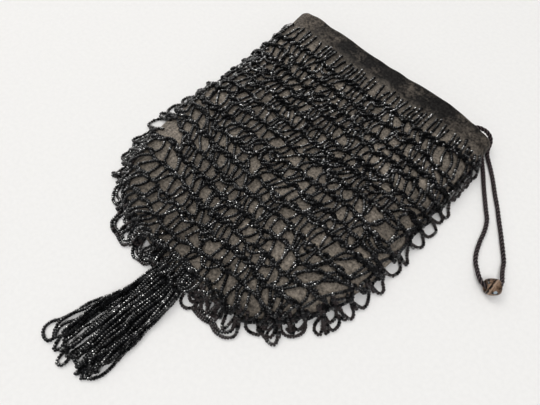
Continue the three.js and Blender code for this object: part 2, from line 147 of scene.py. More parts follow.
def plain_glass(name, color, rough, ior, specular):
    m, _, b = node_material(name)
    b.inputs["Base Color"].default_value = (*color, 1)
    b.inputs["Roughness"].default_value = rough
    b.inputs["Specular IOR Level"].default_value = specular
    b.inputs["IOR"].default_value = ior
    return m


# Jet glass is never all one black: most is clear-surfaced, some duller, some bluish or brown, and on the loops,
# the tassel and the lower net some beads are given a greyer colour.
JET = [
    plain_glass("jet_clear", (0.0033, 0.0033, 0.0037), 0.37, 1.60, 0.42),
    plain_glass("jet_soft", (0.0039, 0.0040, 0.0045), 0.42, 1.5, 0.20),
    plain_glass("jet_blue", (0.0030, 0.0038, 0.0057), 0.36, 2.0, 0.70),
    plain_glass("jet_brown", (0.0072, 0.0054, 0.0044), 0.39, 1.8, 0.50),
    plain_glass("jet_bright", (0.0038, 0.0038, 0.0044), 0.33, 2.6, 1.0),
    plain_glass("jet_brownish_grey", (0.0310, 0.0242, 0.0235), 0.44, 1.6, 0.5),
    plain_glass("jet_greyish", (0.0120, 0.0122, 0.0134), 0.44, 1.6, 0.5),
]
JET_SHARE = [0.41, 0.14, 0.22, 0.07, 0.16, 0.0, 0.0]


def cloth_material(name, painted_shade_factor=1.0):
    m, tree, b = node_material(name)
    nodes, link = tree.nodes, tree.links.new
    coord = nodes.new("ShaderNodeTexCoord")
    split = nodes.new("ShaderNodeSeparateXYZ")
    link(coord.outputs["Object"], split.inputs[0])
    x, y = split.outputs["X"], split.outputs["Y"]

    def calc(op, a, b_=0.0, clamp=False):
        n = nodes.new("ShaderNodeMath")
        n.operation, n.use_clamp = op, clamp
        for i, v in enumerate((a, b_)):
            if isinstance(v, (int, float)):
                n.inputs[i].default_value = v
            else:
                link(v, n.inputs[i])
        return n.outputs[0]

    def ease(v, start, end):
        return calc("MULTIPLY", calc("SUBTRACT", v, start), 1 / (end - start), True)

    def cloudy(scale, detail, rough, stretch=None):
        n = nodes.new("ShaderNodeTexNoise")
        n.inputs["Scale"].default_value = scale
        n.inputs["Detail"].default_value = detail
        n.inputs["Roughness"].default_value = rough
        source = coord.outputs["Object"]
        if stretch:
            g = nodes.new("ShaderNodeMapping")
            g.inputs["Scale"].default_value = stretch
            link(source, g.inputs[0])
            source = g.outputs[0]
        link(source, n.inputs["Vector"])
        return n.outputs["Fac"]

    def ramp(fac, low, low_color, high, high_color):
        n = nodes.new("ShaderNodeValToRGB")
        e = n.color_ramp.elements
        e[0].position, e[0].color = low, (*low_color, 1)
        e[1].position, e[1].color = high, (*high_color, 1)
        link(fac, n.inputs[0])
        return n.outputs[0]

    # fine cross ribs, the warp over them and uneven yarn
    ribs = calc("SINE", calc("MULTIPLY", y, 2 * math.pi / 0.00052))
    warp = calc("SINE", calc("MULTIPLY", x, 2 * math.pi / 0.00034))
    slub = cloudy(900, 3, 0.5, (0.18, 1.0, 1.0))
    weave = calc("ADD", calc("MULTIPLY", ribs, 0.30), calc("MULTIPLY", calc("MULTIPLY", ribs, warp), 0.35))
    weave = calc("ADD", weave, calc("MULTIPLY", slub, 0.9))

    # the cloth under the net: soft uneven clouds, painted paler than the band as sheen, and painted shade darkening it
    # towards the bottom
    cloud = cloudy(42, 4, 0.5)
    tone = ramp(calc("SUBTRACT", cloud, calc("MULTIPLY", ease(y, -0.010, -0.050), 0.055)), 0.30, np.array((0.130, 0.114, 0.097)) * painted_shade_factor, 0.72, np.array((0.264, 0.232, 0.197)) * painted_shade_factor)

    # painted shade: it darkens down the bag, most of all at the bottom and low on the right
    shade = calc("SUBTRACT", 1.0, calc("MULTIPLY", ease(y, 0.095, 0.035), 0.15))
    shade = calc("SUBTRACT", shade, calc("MULTIPLY", ease(y, -0.015, -0.045), 0.08))
    shade = calc("SUBTRACT", shade, calc("MULTIPLY", calc("MULTIPLY", ease(x, 0.0, 0.020), ease(y, 0.020, -0.010)), 0.07))
    shaded = nodes.new("ShaderNodeMix")
    shaded.data_type, shaded.blend_type = "RGBA", "MULTIPLY"
    shaded.inputs["Factor"].default_value = 1.0
    link(tone, shaded.inputs["A"])
    link(shade, shaded.inputs["B"])
    tone = shaded.outputs["Result"]

    # the plain band at the mouth is the same cloth painted blacker as shade, in soft blotches of painted shade and
    # sheen, and paler towards its two ends with painted sheen
    patch = cloudy(85, 3, 0.55)
    mottle = cloudy(340, 4, 0.6)
    sheen_ends = calc("ADD", calc("MULTIPLY", ease(x, -0.036, -0.074), 0.58), calc("MULTIPLY", ease(x, 0.046, 0.076), 0.40))
    band_sheen_fac = calc("MULTIPLY", calc("SUBTRACT", patch, 0.47), 2.0)
    band_sheen_fac = calc("ADD", band_sheen_fac, calc("MULTIPLY", calc("SUBTRACT", mottle, 0.5), 0.75))
    band_sheen_fac = calc("ADD", band_sheen_fac, sheen_ends, True)
    band_shade_and_sheen = ramp(band_sheen_fac, 0.0, np.array((0.0130, 0.0122, 0.0118)) * painted_shade_factor, 1.0, np.array((0.122, 0.104, 0.087)) * painted_shade_factor)

    mix = nodes.new("ShaderNodeMix")
    mix.data_type = "RGBA"
    link(ease(calc("ADD", y, calc("MULTIPLY", calc("SUBTRACT", patch, 0.5), 0.012)), 0.1060, 0.1170), mix.inputs["Factor"])
    link(tone, mix.inputs["A"])
    link(band_shade_and_sheen, mix.inputs["B"])

    # the yarn's grain
    thread = nodes.new("ShaderNodeMix")
    thread.data_type, thread.blend_type = "RGBA", "MULTIPLY"
    thread.inputs["Factor"].default_value = 0.9
    link(mix.outputs["Result"], thread.inputs["A"])
    grain = calc("ADD", calc("MULTIPLY", weave, 0.10), calc("MULTIPLY", cloudy(680, 3, 0.65), 0.95))
    link(ramp(grain, 0.34, (0.22, 0.22, 0.22), 0.74, (1.85, 1.80, 1.72)), thread.inputs["B"])
    link(thread.outputs["Result"], b.inputs["Base Color"])

    rough = nodes.new("ShaderNodeMapRange")
    rough.inputs["To Min"].default_value, rough.inputs["To Max"].default_value = 0.50, 0.70
    link(cloud, rough.inputs["Value"])
    link(rough.outputs[0], b.inputs["Roughness"])
    b.inputs["Specular IOR Level"].default_value = 0.08
    b.inputs["Sheen Weight"].default_value = 0.04
    b.inputs["Sheen Roughness"].default_value = 0.4
    b.inputs["Sheen Tint"].default_value = (0.85, 0.76, 0.66, 1)
    bump = nodes.new("ShaderNodeBump")
    bump.inputs["Strength"].default_value = 0.5
    bump.inputs["Distance"].default_value = 0.00012
    link(weave, bump.inputs["Height"])
    link(bump.outputs[0], b.inputs["Normal"])
    return m


def cord_material(name, low, high):
    m, tree, b = node_material(name)
    nodes, link = tree.nodes, tree.links.new
    coord = nodes.new("ShaderNodeTexCoord")
    fibre = nodes.new("ShaderNodeTexNoise")
    fibre.inputs["Scale"].default_value = 2600
    fibre.inputs["Detail"].default_value = 3
    link(coord.outputs["Object"], fibre.inputs["Vector"])
    fade = nodes.new("ShaderNodeTexNoise")
    fade.inputs["Scale"].default_value = 180
    link(coord.outputs["Object"], fade.inputs["Vector"])
    ramp = nodes.new("ShaderNodeValToRGB")
    ramp.color_ramp.elements[0].position, ramp.color_ramp.elements[0].color = 0.30, (*low, 1)
    ramp.color_ramp.elements[1].position, ramp.color_ramp.elements[1].color = 0.75, (*high, 1)
    both = nodes.new("ShaderNodeMath")
    both.operation = "MULTIPLY_ADD"
    both.inputs[1].default_value = 0.55
    link(fibre.outputs["Fac"], both.inputs[0])
    half = nodes.new("ShaderNodeMath")
    half.operation = "MULTIPLY"
    half.inputs[1].default_value = 0.45
    link(fade.outputs["Fac"], half.inputs[0])
    link(half.outputs[0], both.inputs[2])
    link(both.outputs[0], ramp.inputs[0])
    link(ramp.outputs[0], b.inputs["Base Color"])
    rough = nodes.new("ShaderNodeMapRange")
    rough.inputs["To Min"].default_value, rough.inputs["To Max"].default_value = 0.42, 0.68
    link(fibre.outputs["Fac"], rough.inputs["Value"])
    link(rough.outputs[0], b.inputs["Roughness"])
    b.inputs["Specular IOR Level"].default_value = 0.2
    b.inputs["Sheen Weight"].default_value = 0.08
    b.inputs["Sheen Roughness"].default_value = 0.35
    b.inputs["Sheen Tint"].default_value = (0.72, 0.62, 0.70, 1)
    bump = nodes.new("ShaderNodeBump")
    bump.inputs["Strength"].default_value = 0.55
    bump.inputs["Distance"].default_value = 0.0001
    link(fibre.outputs["Fac"], bump.inputs["Height"])
    link(bump.outputs[0], b.inputs["Normal"])
    return m


def slider_material(centre):
    m, tree, b = node_material("swirled_glass")
    nodes, link = tree.nodes, tree.links.new
    coord = nodes.new("ShaderNodeTexCoord").outputs["Object"]

    def calc(op, a, b_, clamp=False):
        n = nodes.new("ShaderNodeMath")
        n.operation, n.use_clamp = op, clamp
        for i, v in enumerate((a, b_)):
            if isinstance(v, (int, float)):
                n.inputs[i].default_value = v
            else:
                link(v, n.inputs[i])
        return n.outputs[0]

    def over(below, fac, color):
        n = nodes.new("ShaderNodeMix")
        n.data_type = "RGBA"
        link(fac, n.inputs["Factor"])
        link(below, n.inputs["A"])
        n.inputs["B"].default_value = (*color, 1)
        return n.outputs["Result"]

    def vector(op, a, value):
        n = nodes.new("ShaderNodeVectorMath")
        n.operation = op
        link(a, n.inputs[0])
        n.inputs[1].default_value = value
        return n

    swirl = nodes.new("ShaderNodeTexNoise")
    swirl.inputs["Scale"].default_value = 330
    swirl.inputs["Detail"].default_value = 4
    swirl.inputs["Distortion"].default_value = 1.4
    link(coord, swirl.inputs["Vector"])
    ramp = nodes.new("ShaderNodeValToRGB")
    e = ramp.color_ramp.elements
    e[0].position, e[0].color = 0.32, (0.022, 0.014, 0.010, 1)
    e[1].position, e[1].color = 0.44, (0.115, 0.068, 0.042, 1)
    for at, color in ((0.54, (0.205, 0.130, 0.085, 1)), (0.68, (0.290, 0.205, 0.145, 1))):
        e.new(at).color = color
    link(swirl.outputs["Fac"], ramp.inputs[0])
    # black spots, a pale stripe with a black one beside it, and a bluish drop
    spots = nodes.new("ShaderNodeTexVoronoi")
    spots.inputs["Scale"].default_value = 430
    link(coord, spots.inputs["Vector"])
    color = over(ramp.outputs[0], calc("MULTIPLY", calc("SUBTRACT", 0.36, spots.outputs["Distance"]), 14.0, True), (0.004, 0.004, 0.004))
    stripe = vector("DOT_PRODUCT", vector("SUBTRACT", coord, centre).outputs[0], (0.99, 0.02, 0.12)).outputs["Value"]
    stripe = calc("ADD", stripe, calc("MULTIPLY", calc("SUBTRACT", swirl.outputs["Fac"], 0.5), 0.0012))
    for at, half, tint in ((0.0004, 0.0005, (0.30, 0.205, 0.145)), (-0.0006, 0.0004, (0.005, 0.004, 0.004))):
        gap = calc("ABSOLUTE", calc("SUBTRACT", stripe, at), 0.0)
        color = over(color, calc("MULTIPLY", calc("SUBTRACT", half, gap), 6000.0, True), tint)
    drop = vector("DISTANCE", coord, tuple(np.array(centre) + np.array((0.00262, -0.00272, 0.00218)))).outputs["Value"]
    color = over(color, calc("MULTIPLY", calc("SUBTRACT", 0.00115, drop), 3000.0, True), (0.34, 0.40, 0.44))
    link(color, b.inputs["Base Color"])
    rough = nodes.new("ShaderNodeMapRange")
    rough.inputs["To Min"].default_value, rough.inputs["To Max"].default_value = 0.26, 0.44
    link(swirl.outputs["Fac"], rough.inputs["Value"])
    link(rough.outputs[0], b.inputs["Roughness"])
    b.inputs["Specular IOR Level"].default_value = 0.22
    bump = nodes.new("ShaderNodeBump")
    bump.inputs["Strength"].default_value = 0.3
    bump.inputs["Distance"].default_value = 0.0003
    link(swirl.outputs["Fac"], bump.inputs["Height"])
    link(bump.outputs[0], b.inputs["Normal"])
    return m


SLIDER_AT = (126.6, 53.2, 4.6)
# the hem's copy of the cloth is darker: painted shade on the fold's edge
CLOTH, HEM_SHADE, SLIDER = cloth_material("ribbed_silk"), cloth_material("ribbed_silk_hem_shade", 0.45), slider_material(tuple(np.array(SLIDER_AT) * MM))
CORD = cord_material("twisted_silk", (0.050, 0.035, 0.037), (0.130, 0.096, 0.098))
# darker copy of the cord for the faces down between the plies: painted shade in the grooves
CORD_GROOVE_SHADE = cord_material("twisted_silk_groove_shade", (0.0035, 0.0026, 0.0030), (0.013, 0.0095, 0.0102))

# ------------------------------------------------------------------ the drawstring
CORD_R = 1.32
ROUTE = [  # out of the back hem, under the corner, over the table, through the bead and back to the front hem
    (60.8, 125.9, 2.4), (62.3, 126.2, 2.5), (64.4, 127.5, 2.6), (66.8, 128.4, 2.4), (69.3, 128.5, 2.0),
    (71.6, 127.8, 1.7), (73.5, 126.2, 1.5), (74.9, 123.9, 1.4), (76.2, 121.4, 1.4), (78.2, 118.6, 1.4),
    (81.3, 114.6, 1.4), (84.9, 109.8, 1.4), (90.6, 102.0, 1.4), (98.7, 91.6, 1.4), (102.7, 86.5, 1.4),
    (105.4, 80.2, 1.4), (107.4, 72.4, 1.4), (109.8, 65.2, 1.4), (112.4, 60.6, 1.5), (115.3, 57.2, 2.3),
    (117.2, 54.9, 3.2), (119.2, 52.8, 4.1), (120.8, 51.6, 4.5), (123.0, 51.1, 4.6), (125.2, 51.5, 4.6),
    (127.1, 52.6, 4.6), (128.5, 54.4, 4.6), (129.1, 56.5, 4.6), (129.0, 58.4, 4.5), (128.3, 60.2, 4.2),
    (127.5, 62.0, 3.6), (126.4, 64.3, 2.8), (125.0, 67.6, 1.9), (123.6, 71.1, 1.4), (119.0, 77.2, 1.4),
    (112.1, 85.8, 1.4), (107.6, 91.2, 1.4), (103.6, 96.2, 1.4), (96.5, 104.2, 1.4), (90.6, 111.2, 1.4),
    (84.9, 117.3, 1.4), (80.6, 121.4, 1.5), (78.5, 123.4, 1.9), (77.1, 125.2, 2.8), (76.3, 127.0, 3.8),
    (75.7, 128.6, 5.0), (74.7, 130.0, 6.3), (73.1, 130.9, 7.7), (70.7, 131.1, 9.3), (67.9, 130.4, 10.5),
    (65.1, 129.0, 11.3), (63.3, 127.6, 11.6), (62.0, 126.5, 11.6), (60.8, 125.9, 11.6),
]


def twisted_cord(name, route, radius, plies=3, lay=6.6, sides=12, step=0.62):
    """Plies laid round each other along the route, each a closed tube with fine ridges of its own."""
    line = resample(catmull(route, 14), step)
    n = len(line)
    t = np.gradient(line, axis=0)
    t /= np.linalg.norm(t, axis=1)[:, None]
    a = np.zeros_like(line)
    ref = np.array([0.0, 0.0, 1.0])
    for i in range(n):
        ref = ref - t[i] * ref.dot(t[i])
        ref /= np.linalg.norm(ref)
        a[i] = ref
    o = np.cross(t, a)
    s = along(line)
    core = radius * 0.55
    ply = radius * 0.44
    verts, faces, groove_shade = [], [], []
    for k in range(plies):
        turn = 2 * math.pi * (s / lay + k / plies)
        out = np.cos(turn)[:, None] * a + np.sin(turn)[:, None] * o
        round_ = -np.sin(turn)[:, None] * a + np.cos(turn)[:, None] * o
        mid = line + out * core
        slope = 2 * math.pi * core / lay
        ax = t + round_ * slope
        ax /= np.linalg.norm(ax, axis=1)[:, None]
        side = np.cross(ax, out)
        ring = []
        for j in range(sides):
            q = 2 * math.pi * j / sides
            r = ply * (1.04 + 0.05 * np.sin(q * 3 + s * 9.0 + k))
            ring.append(mid + (np.cos(q) * out + np.sin(q) * side) * r[:, None])
        base = sum(len(v) for v in verts)
        v = np.stack(ring, 1).reshape(-1, 3)
        verts.append(v)
        faces += (grid_faces(n, sides, True) + base).tolist()
        # all but the outer crest of each ply take the darker copy: painted shade in the grooves
        groove_shade += np.tile(np.cos(2 * math.pi * (np.arange(sides) + 0.5) / sides) < 0.8, n - 1).tolist() + [True, True]
        faces.append((base + np.arange(sides)[::-1]).tolist())
        faces.append((base + (n - 1) * sides + np.arange(sides)).tolist())
    obj = make_mesh(name, np.vstack(verts), faces, CORD)
    obj.data.materials.append(CORD_GROOVE_SHADE)
    obj.data.polygons.foreach_set("material_index", np.array(groove_shade, np.int32))
    return obj, line


loop_cord, cord_line = twisted_cord("drawstring_twisted", ROUTE, CORD_R)
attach(loop_cord, "root")
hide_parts("drawstring_loop")

hem_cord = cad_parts["drawstring_in_hem"]
hem_cord.data.materials.clear()
hem_cord.data.materials.append(CORD)


def slider():
    """Round bead with a drilled hole, slightly uneven, as wound glass is."""
    half, radius, hole, lip = 3.95, 4.55, 2.4, 0.45
    profile = [(hole, -half + lip), (hole + 0.14, -half + 0.2), (hole + lip, -half)]
    for i in range(1, 24):
        a = -math.pi / 2 + math.pi * i / 24
        profile.append((hole + lip + (radius - hole - lip) * math.cos(a) ** 0.8, half * math.sin(a)))
    profile += [(hole + lip, half), (hole + 0.14, half - 0.2), (hole, half - lip), (hole, 0)]
    profile = np.array(profile)
    n = 56
    ang = np.arange(n) * 2 * math.pi / n
    w = 1 + 0.012 * np.sin(2 * ang + 0.6) + 0.008 * np.sin(5 * ang)
    v = np.zeros((len(profile), n, 3))
    v[..., 0] = profile[:, :1] * np.cos(ang) * w
    v[..., 1] = profile[:, :1] * np.sin(ang) * w
    v[..., 2] = profile[:, 1:]
    rows = len(profile)
    f = grid_faces(rows, n, True)
    close = np.stack([(rows - 1) * n + np.arange(n), (rows - 1) * n + (np.arange(n) + 1) % n, (np.arange(n) + 1) % n, np.arange(n)], -1)
    axis = Vector((0.748, 0.664, 0.0)).normalized()
    turn = np.array(Vector((0, 0, 1)).rotation_difference(axis).to_matrix())
    v = v.reshape(-1, 3) @ turn.T + np.array(SLIDER_AT)
    obj = make_mesh("slider_bead_glass", v, np.vstack([f, close]), SLIDER)
    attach(obj, "root")
    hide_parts("slider_bead")
    return obj


slider_obj = slider()

# ------------------------------------------------------------------ the pouch's own form
HALF, MOUTH_Y, BEND_Y, DEPTH, POWER = 75.0, 128.0, 10.7, 68.0, 2.3
HEM_R, HEM_TURN, HEM_MID = 2.3, 4.6, 7.0
SECTIONS = {  # the same sections as the solid
    "y": [128.0, 119.0, 112.5, 99.0, 80.0, 50.0, 10.7],
    "mid": [7.0, 6.2, 5.5, 4.8, 4.2, 3.8, 3.6],
    "rise": [6.9, 7.2, 7.3, 7.2, 7.0, 6.9, 6.8],
    "drop": [6.9, 5.0, 3.3, 2.6, 2.0, 1.6, 1.4],
    "turn_f": [6.9, 9.0, 12.0, 15.0, 17.0, 18.0, 18.0],
    "turn_b": [6.9, 6.0, 5.0, 4.5, 4.0, 3.5, 3.0],
    "seam": [1.0, 1.4, 1.8, 2.2, 2.2, 2.2, 2.2],
    "follow": [1.0, 0.8, 0.5, 0.15, 0.0, 0.0, 0.0],
}
MOUTH_EDGE = np.array([  # height of the hem from the left corner to the right one
    (-75, 124.6), (-70, 125.8), (-63, 127.0), (-53, 126.3), (-38, 126.8), (-20, 125.8), (-6, 126.1),
    (10, 126.6), (24, 127.7), (37, 128.3), (48, 127.7), (62, 125.8), (70, 124.0), (75, 123.5),
])
SWELL = np.array([  # the worn sides are not straight: height, share by which the left and the right are wider
    (-58.0, 0.22, 0.0), (-51.0, 0.22, 0.0), (-45.0, 0.165, 0.0), (-37.0, 0.12, -0.02), (-26.0, 0.07, -0.02), (-15.0, 0.05, 0.005),
    (-4.0, 0.042, 0.03), (10.7, 0.045, 0.055), (28.0, 0.04, 0.06), (50.0, 0.015, 0.055), (80.0, 0.012, 0.042), (99.0, 0.01, 0.044),
    (112.5, 0.014, 0.044), (119.0, 0.018, 0.036), (124.0, 0.021, 0.031), (129.0, 0.021, 0.030),
])
FOLDS = [  # x, y, height, spread across, spread along
    (-56, 112, 0.7, 15, 12), (-4, 108, -0.8, 34, 10), (50, 110, 0.5, 14, 11), (-30, 60, 0.5, 22, 24),
    (28, 48, -0.4, 20, 26), (-6, 2, -0.3, 26, 18), (34, -14, 0.4, 16, 16),
]
_grid = np.arange(-60.0, 128.5, 0.5)
_kernel = np.exp(-0.5 * (np.arange(-10, 11) / 4.0) ** 2)
_kernel /= _kernel.sum()
_table = {}
for _key in SECTIONS:
    if _key != "y":
        _v = np.interp(_grid, SECTIONS["y"][::-1], SECTIONS[_key][::-1])
        _pad = np.concatenate([np.full(10, _v[0]), _v, 2 * _v[-1] - _v[-2:-12:-1]])
        _table[_key] = np.convolve(_pad, _kernel, "valid")


def section(y):
    y = np.asarray(y, float)
    t = np.clip((BEND_Y - y) / DEPTH, 0.0, 0.9995)
    row = {k: np.interp(y, _grid, v) for k, v in _table.items()}
    half = HALF * (1 - t**POWER) ** (1 / POWER)
    row["t"], row["half"] = t, half
    row["rise"] = np.where(t > 0, 1.3 + (row["rise"] - 1.3) * np.sqrt(1 - t**4), row["rise"])
    row["turn_f"] = np.minimum(row["turn_f"], 0.75 * half)
    row["turn_b"] = np.minimum(row["turn_b"], 0.4 * half)
    return row


def widen(x, y):
    x = np.asarray(x, float)
    left_, right_ = (np.interp(y, SWELL[:, 0], SWELL[:, i]) for i in (1, 2))
    return x * (1 + np.where(x < 0, left_, right_))


def mouth_drop(x):
    x = np.asarray(x, float)
    i = np.clip(np.searchsorted(MOUTH_EDGE[:, 0], x) - 1, 0, len(MOUTH_EDGE) - 2)
    f = smooth01((x - MOUTH_EDGE[i, 0]) / (MOUTH_EDGE[i + 1, 0] - MOUTH_EDGE[i, 0]))
    return MOUTH_Y - MOUTH_EDGE[i, 1] - (MOUTH_EDGE[i + 1, 1] - MOUTH_EDGE[i, 1]) * f


def fold(x, y):
    h = sum(f[2] * np.exp(-(((x - f[0]) / f[3]) ** 2) - ((y - f[1]) / f[4]) ** 2) for f in FOLDS)
    return h * (1 - smooth01((y - 114) / 12))


_pucker = [wave(300 + i, 9, 26) for i in range(4)]


def pucker(x, y):
    """Small soft unevenness of the cloth."""
    h = 0.16 * _pucker[0](x + 0.5 * y) * _pucker[1](y - 0.3 * x) + 0.10 * _pucker[2](x) + 0.08 * _pucker[3](y + 0.2 * x)
    return h * smooth01((126 - y) / 6)


def front_point(s, y):
    """Point of the front for s from -1 at the left seam to 1 at the right one."""
    s, y = np.broadcast_arrays(np.asarray(s, float), np.asarray(y, float))
    r = section(y)
    a, b = r["turn_f"], r["rise"]
    quarter = math.pi / 4 * (3 * (a + b) - np.sqrt((3 * a + b) * (a + 3 * b)))
    flat = r["half"] - a
    u = np.abs(s) * (flat + quarter)
    phi = np.clip((u - flat) / quarter, 0, 1) * math.pi / 2
    x = np.sign(s) * np.where(u < flat, u, flat + a * np.sin(phi))
    lift = np.where(u < flat, 1.0, np.cos(phi))
    z = r["mid"] + b * lift + (fold(x, y) + pucker(x, y)) * lift
    return np.stack([widen(x, y), y - mouth_drop(x) * r["follow"], z], -1)


def cloth_height(x, y):
    """Height of the front over a point of the plain outline."""
    r = section(y)
    t = np.clip((np.abs(x) - r["half"] + r["turn_f"]) / r["turn_f"], 0, 1)
    return r["mid"] + r["rise"] * np.sqrt(1 - t**2)


def half_arc(y):
    r = section(y)
    a, b = r["turn_f"], r["rise"]
    return r["half"] - a + math.pi / 4 * (3 * (a + b) - np.sqrt((3 * a + b) * (a + 3 * b)))


def on_front(s, y, off):
    """The same, lifted off the cloth."""
    s = np.clip(s, -1, 1)
    ds = np.gradient(front_point(np.stack([s - 0.004, s, s + 0.004]), np.stack([y, y, y])), axis=0)[1]
    dy = np.gradient(front_point(np.stack([s, s, s]), np.stack([y - 0.3, y, y + 0.3])), axis=0)[1]
    n = np.cross(ds, dy)
    n /= np.maximum(np.linalg.norm(n, axis=-1, keepdims=True), 1e-9)
    return front_point(s, y) + n * np.asarray(off)[..., None]


def pouch():
    front, back_, turn_f, turn_b = 76, 24, 14, 6

    def ring(y, grow, side, wrinkle):
        r = {k: float(v) for k, v in section(y).items()}
        half, rise, drop = r["half"] + side, r["rise"] + grow, r["drop"] + grow
        tf, tb = max(0.6, r["turn_f"] + side), max(0.5, r["turn_b"] + side)
        y0 = y - side * r["t"] ** 4
        q = np.linspace(0, math.pi / 2, turn_f, endpoint=False)
        x = [half - tf + tf * np.cos(q)]
        z = [r["mid"] + rise * np.sin(q)]
        w = [np.sin(q)]
        fx = np.linspace(half - tf, -(half - tf), front + 1)
        x.append(fx), z.append(np.full(front + 1, r["mid"] + rise)), w.append(np.ones(front + 1))
        q = np.linspace(0, math.pi / 2, turn_f + 1)[1:]
        x.append(-(half - tf) - tf * np.sin(q)), z.append(r["mid"] + rise * np.cos(q)), w.append(np.cos(q))
        q = np.linspace(0, math.pi / 2, turn_b + 1)[1:]
        x.append(-(half - tb) - tb * np.cos(q)), z.append(r["mid"] - drop * np.sin(q)), w.append(np.zeros(turn_b))
        x.append(np.linspace(-(half - tb), half - tb, back_ + 1)[1:])
        z.append(np.full(back_, r["mid"] - drop)), w.append(np.zeros(back_))
        q = np.linspace(0, math.pi / 2, turn_b + 1)[1:-1]
        x.append(half - tb + tb * np.sin(q)), z.append(r["mid"] - drop * np.cos(q)), w.append(np.zeros(turn_b - 1))
        x, z, w = (np.concatenate(v) for v in (x, z, w))
        z = z + (fold(x, y0) + (pucker(x, y0) if wrinkle else 0)) * np.maximum(w, 0)
        return np.stack([widen(x, y0), y0 - mouth_drop(x) * r["follow"], z], -1)

    bottom = BEND_Y - DEPTH * np.sin(np.linspace(0, math.pi / 2, 60)[1:-1]) ** (2 / POWER)
    rows_out = np.concatenate([np.append(bottom, BEND_Y - DEPTH * 0.9985)[::-1], np.linspace(BEND_Y, 125.4, 72)])
    rows_in = np.concatenate([np.linspace(124.0, BEND_Y, 22), bottom[::3], [BEND_Y - DEPTH * 0.9985]])
    outer = [ring(y, 0, 0, True) for y in rows_out]
    top, centre = ring(MOUTH_Y, 0, 0, False), ring(MOUTH_Y, -HEM_R, -HEM_R, False)
    wavy = 0.22 * wave(77, 9, 24)(centre[:, 0] + 3 * centre[:, 2])
    hem = []
    for d in (0, 20, 40, 60, 80, 100, 120, 140, 160, 180, 205, 230, 255, 280, 304):
        a = math.radians(d)
        y = MOUTH_Y - mouth_drop(centre[:, 0]) + HEM_R * math.sin(a) + wavy
        p = centre + (top - centre) * math.cos(a)
        hem.append(np.stack([p[:, 0], y, p[:, 2]], -1))
    inner = [ring(y, -1.0, -float(section(y)["seam"]), False) for y in rows_in]
    rings = outer + hem + inner
    n = len(rings[0])
    v = np.vstack(rings)
    f = grid_faces(len(rings), n, True).tolist()
    f.append(list(range(n))[::-1])
    f.append([(len(rings) - 1) * n + j for j in range(n)])
    obj = make_mesh("pouch_cloth", v, [q[::-1] for q in f], CLOTH)
    obj.data.materials.append(HEM_SHADE)
    over = np.zeros(len(f), np.int32)
    # painted shade: the hem's fold edge takes the darker copy of the cloth
    over[(len(outer) + 2) * n : (len(outer) + 8) * n] = 1  # the fold's own edge is in its shade
    obj.data.polygons.foreach_set("material_index", over)
    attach(obj, "root")
    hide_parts("pouch")
    return obj


pouch_obj = pouch()

# ------------------------------------------------------------------ beads
PITCH, BEAD_R = 1.42, 0.99
CUT = [(-0.5, 0.72), (-0.30, 1.0), (0.30, 1.0), (0.5, 0.72)]  # a cut seed bead: six flats and bevelled ends
PLAIN = [(-0.5, 0.86), (0.5, 0.86)]  # the same for the underside


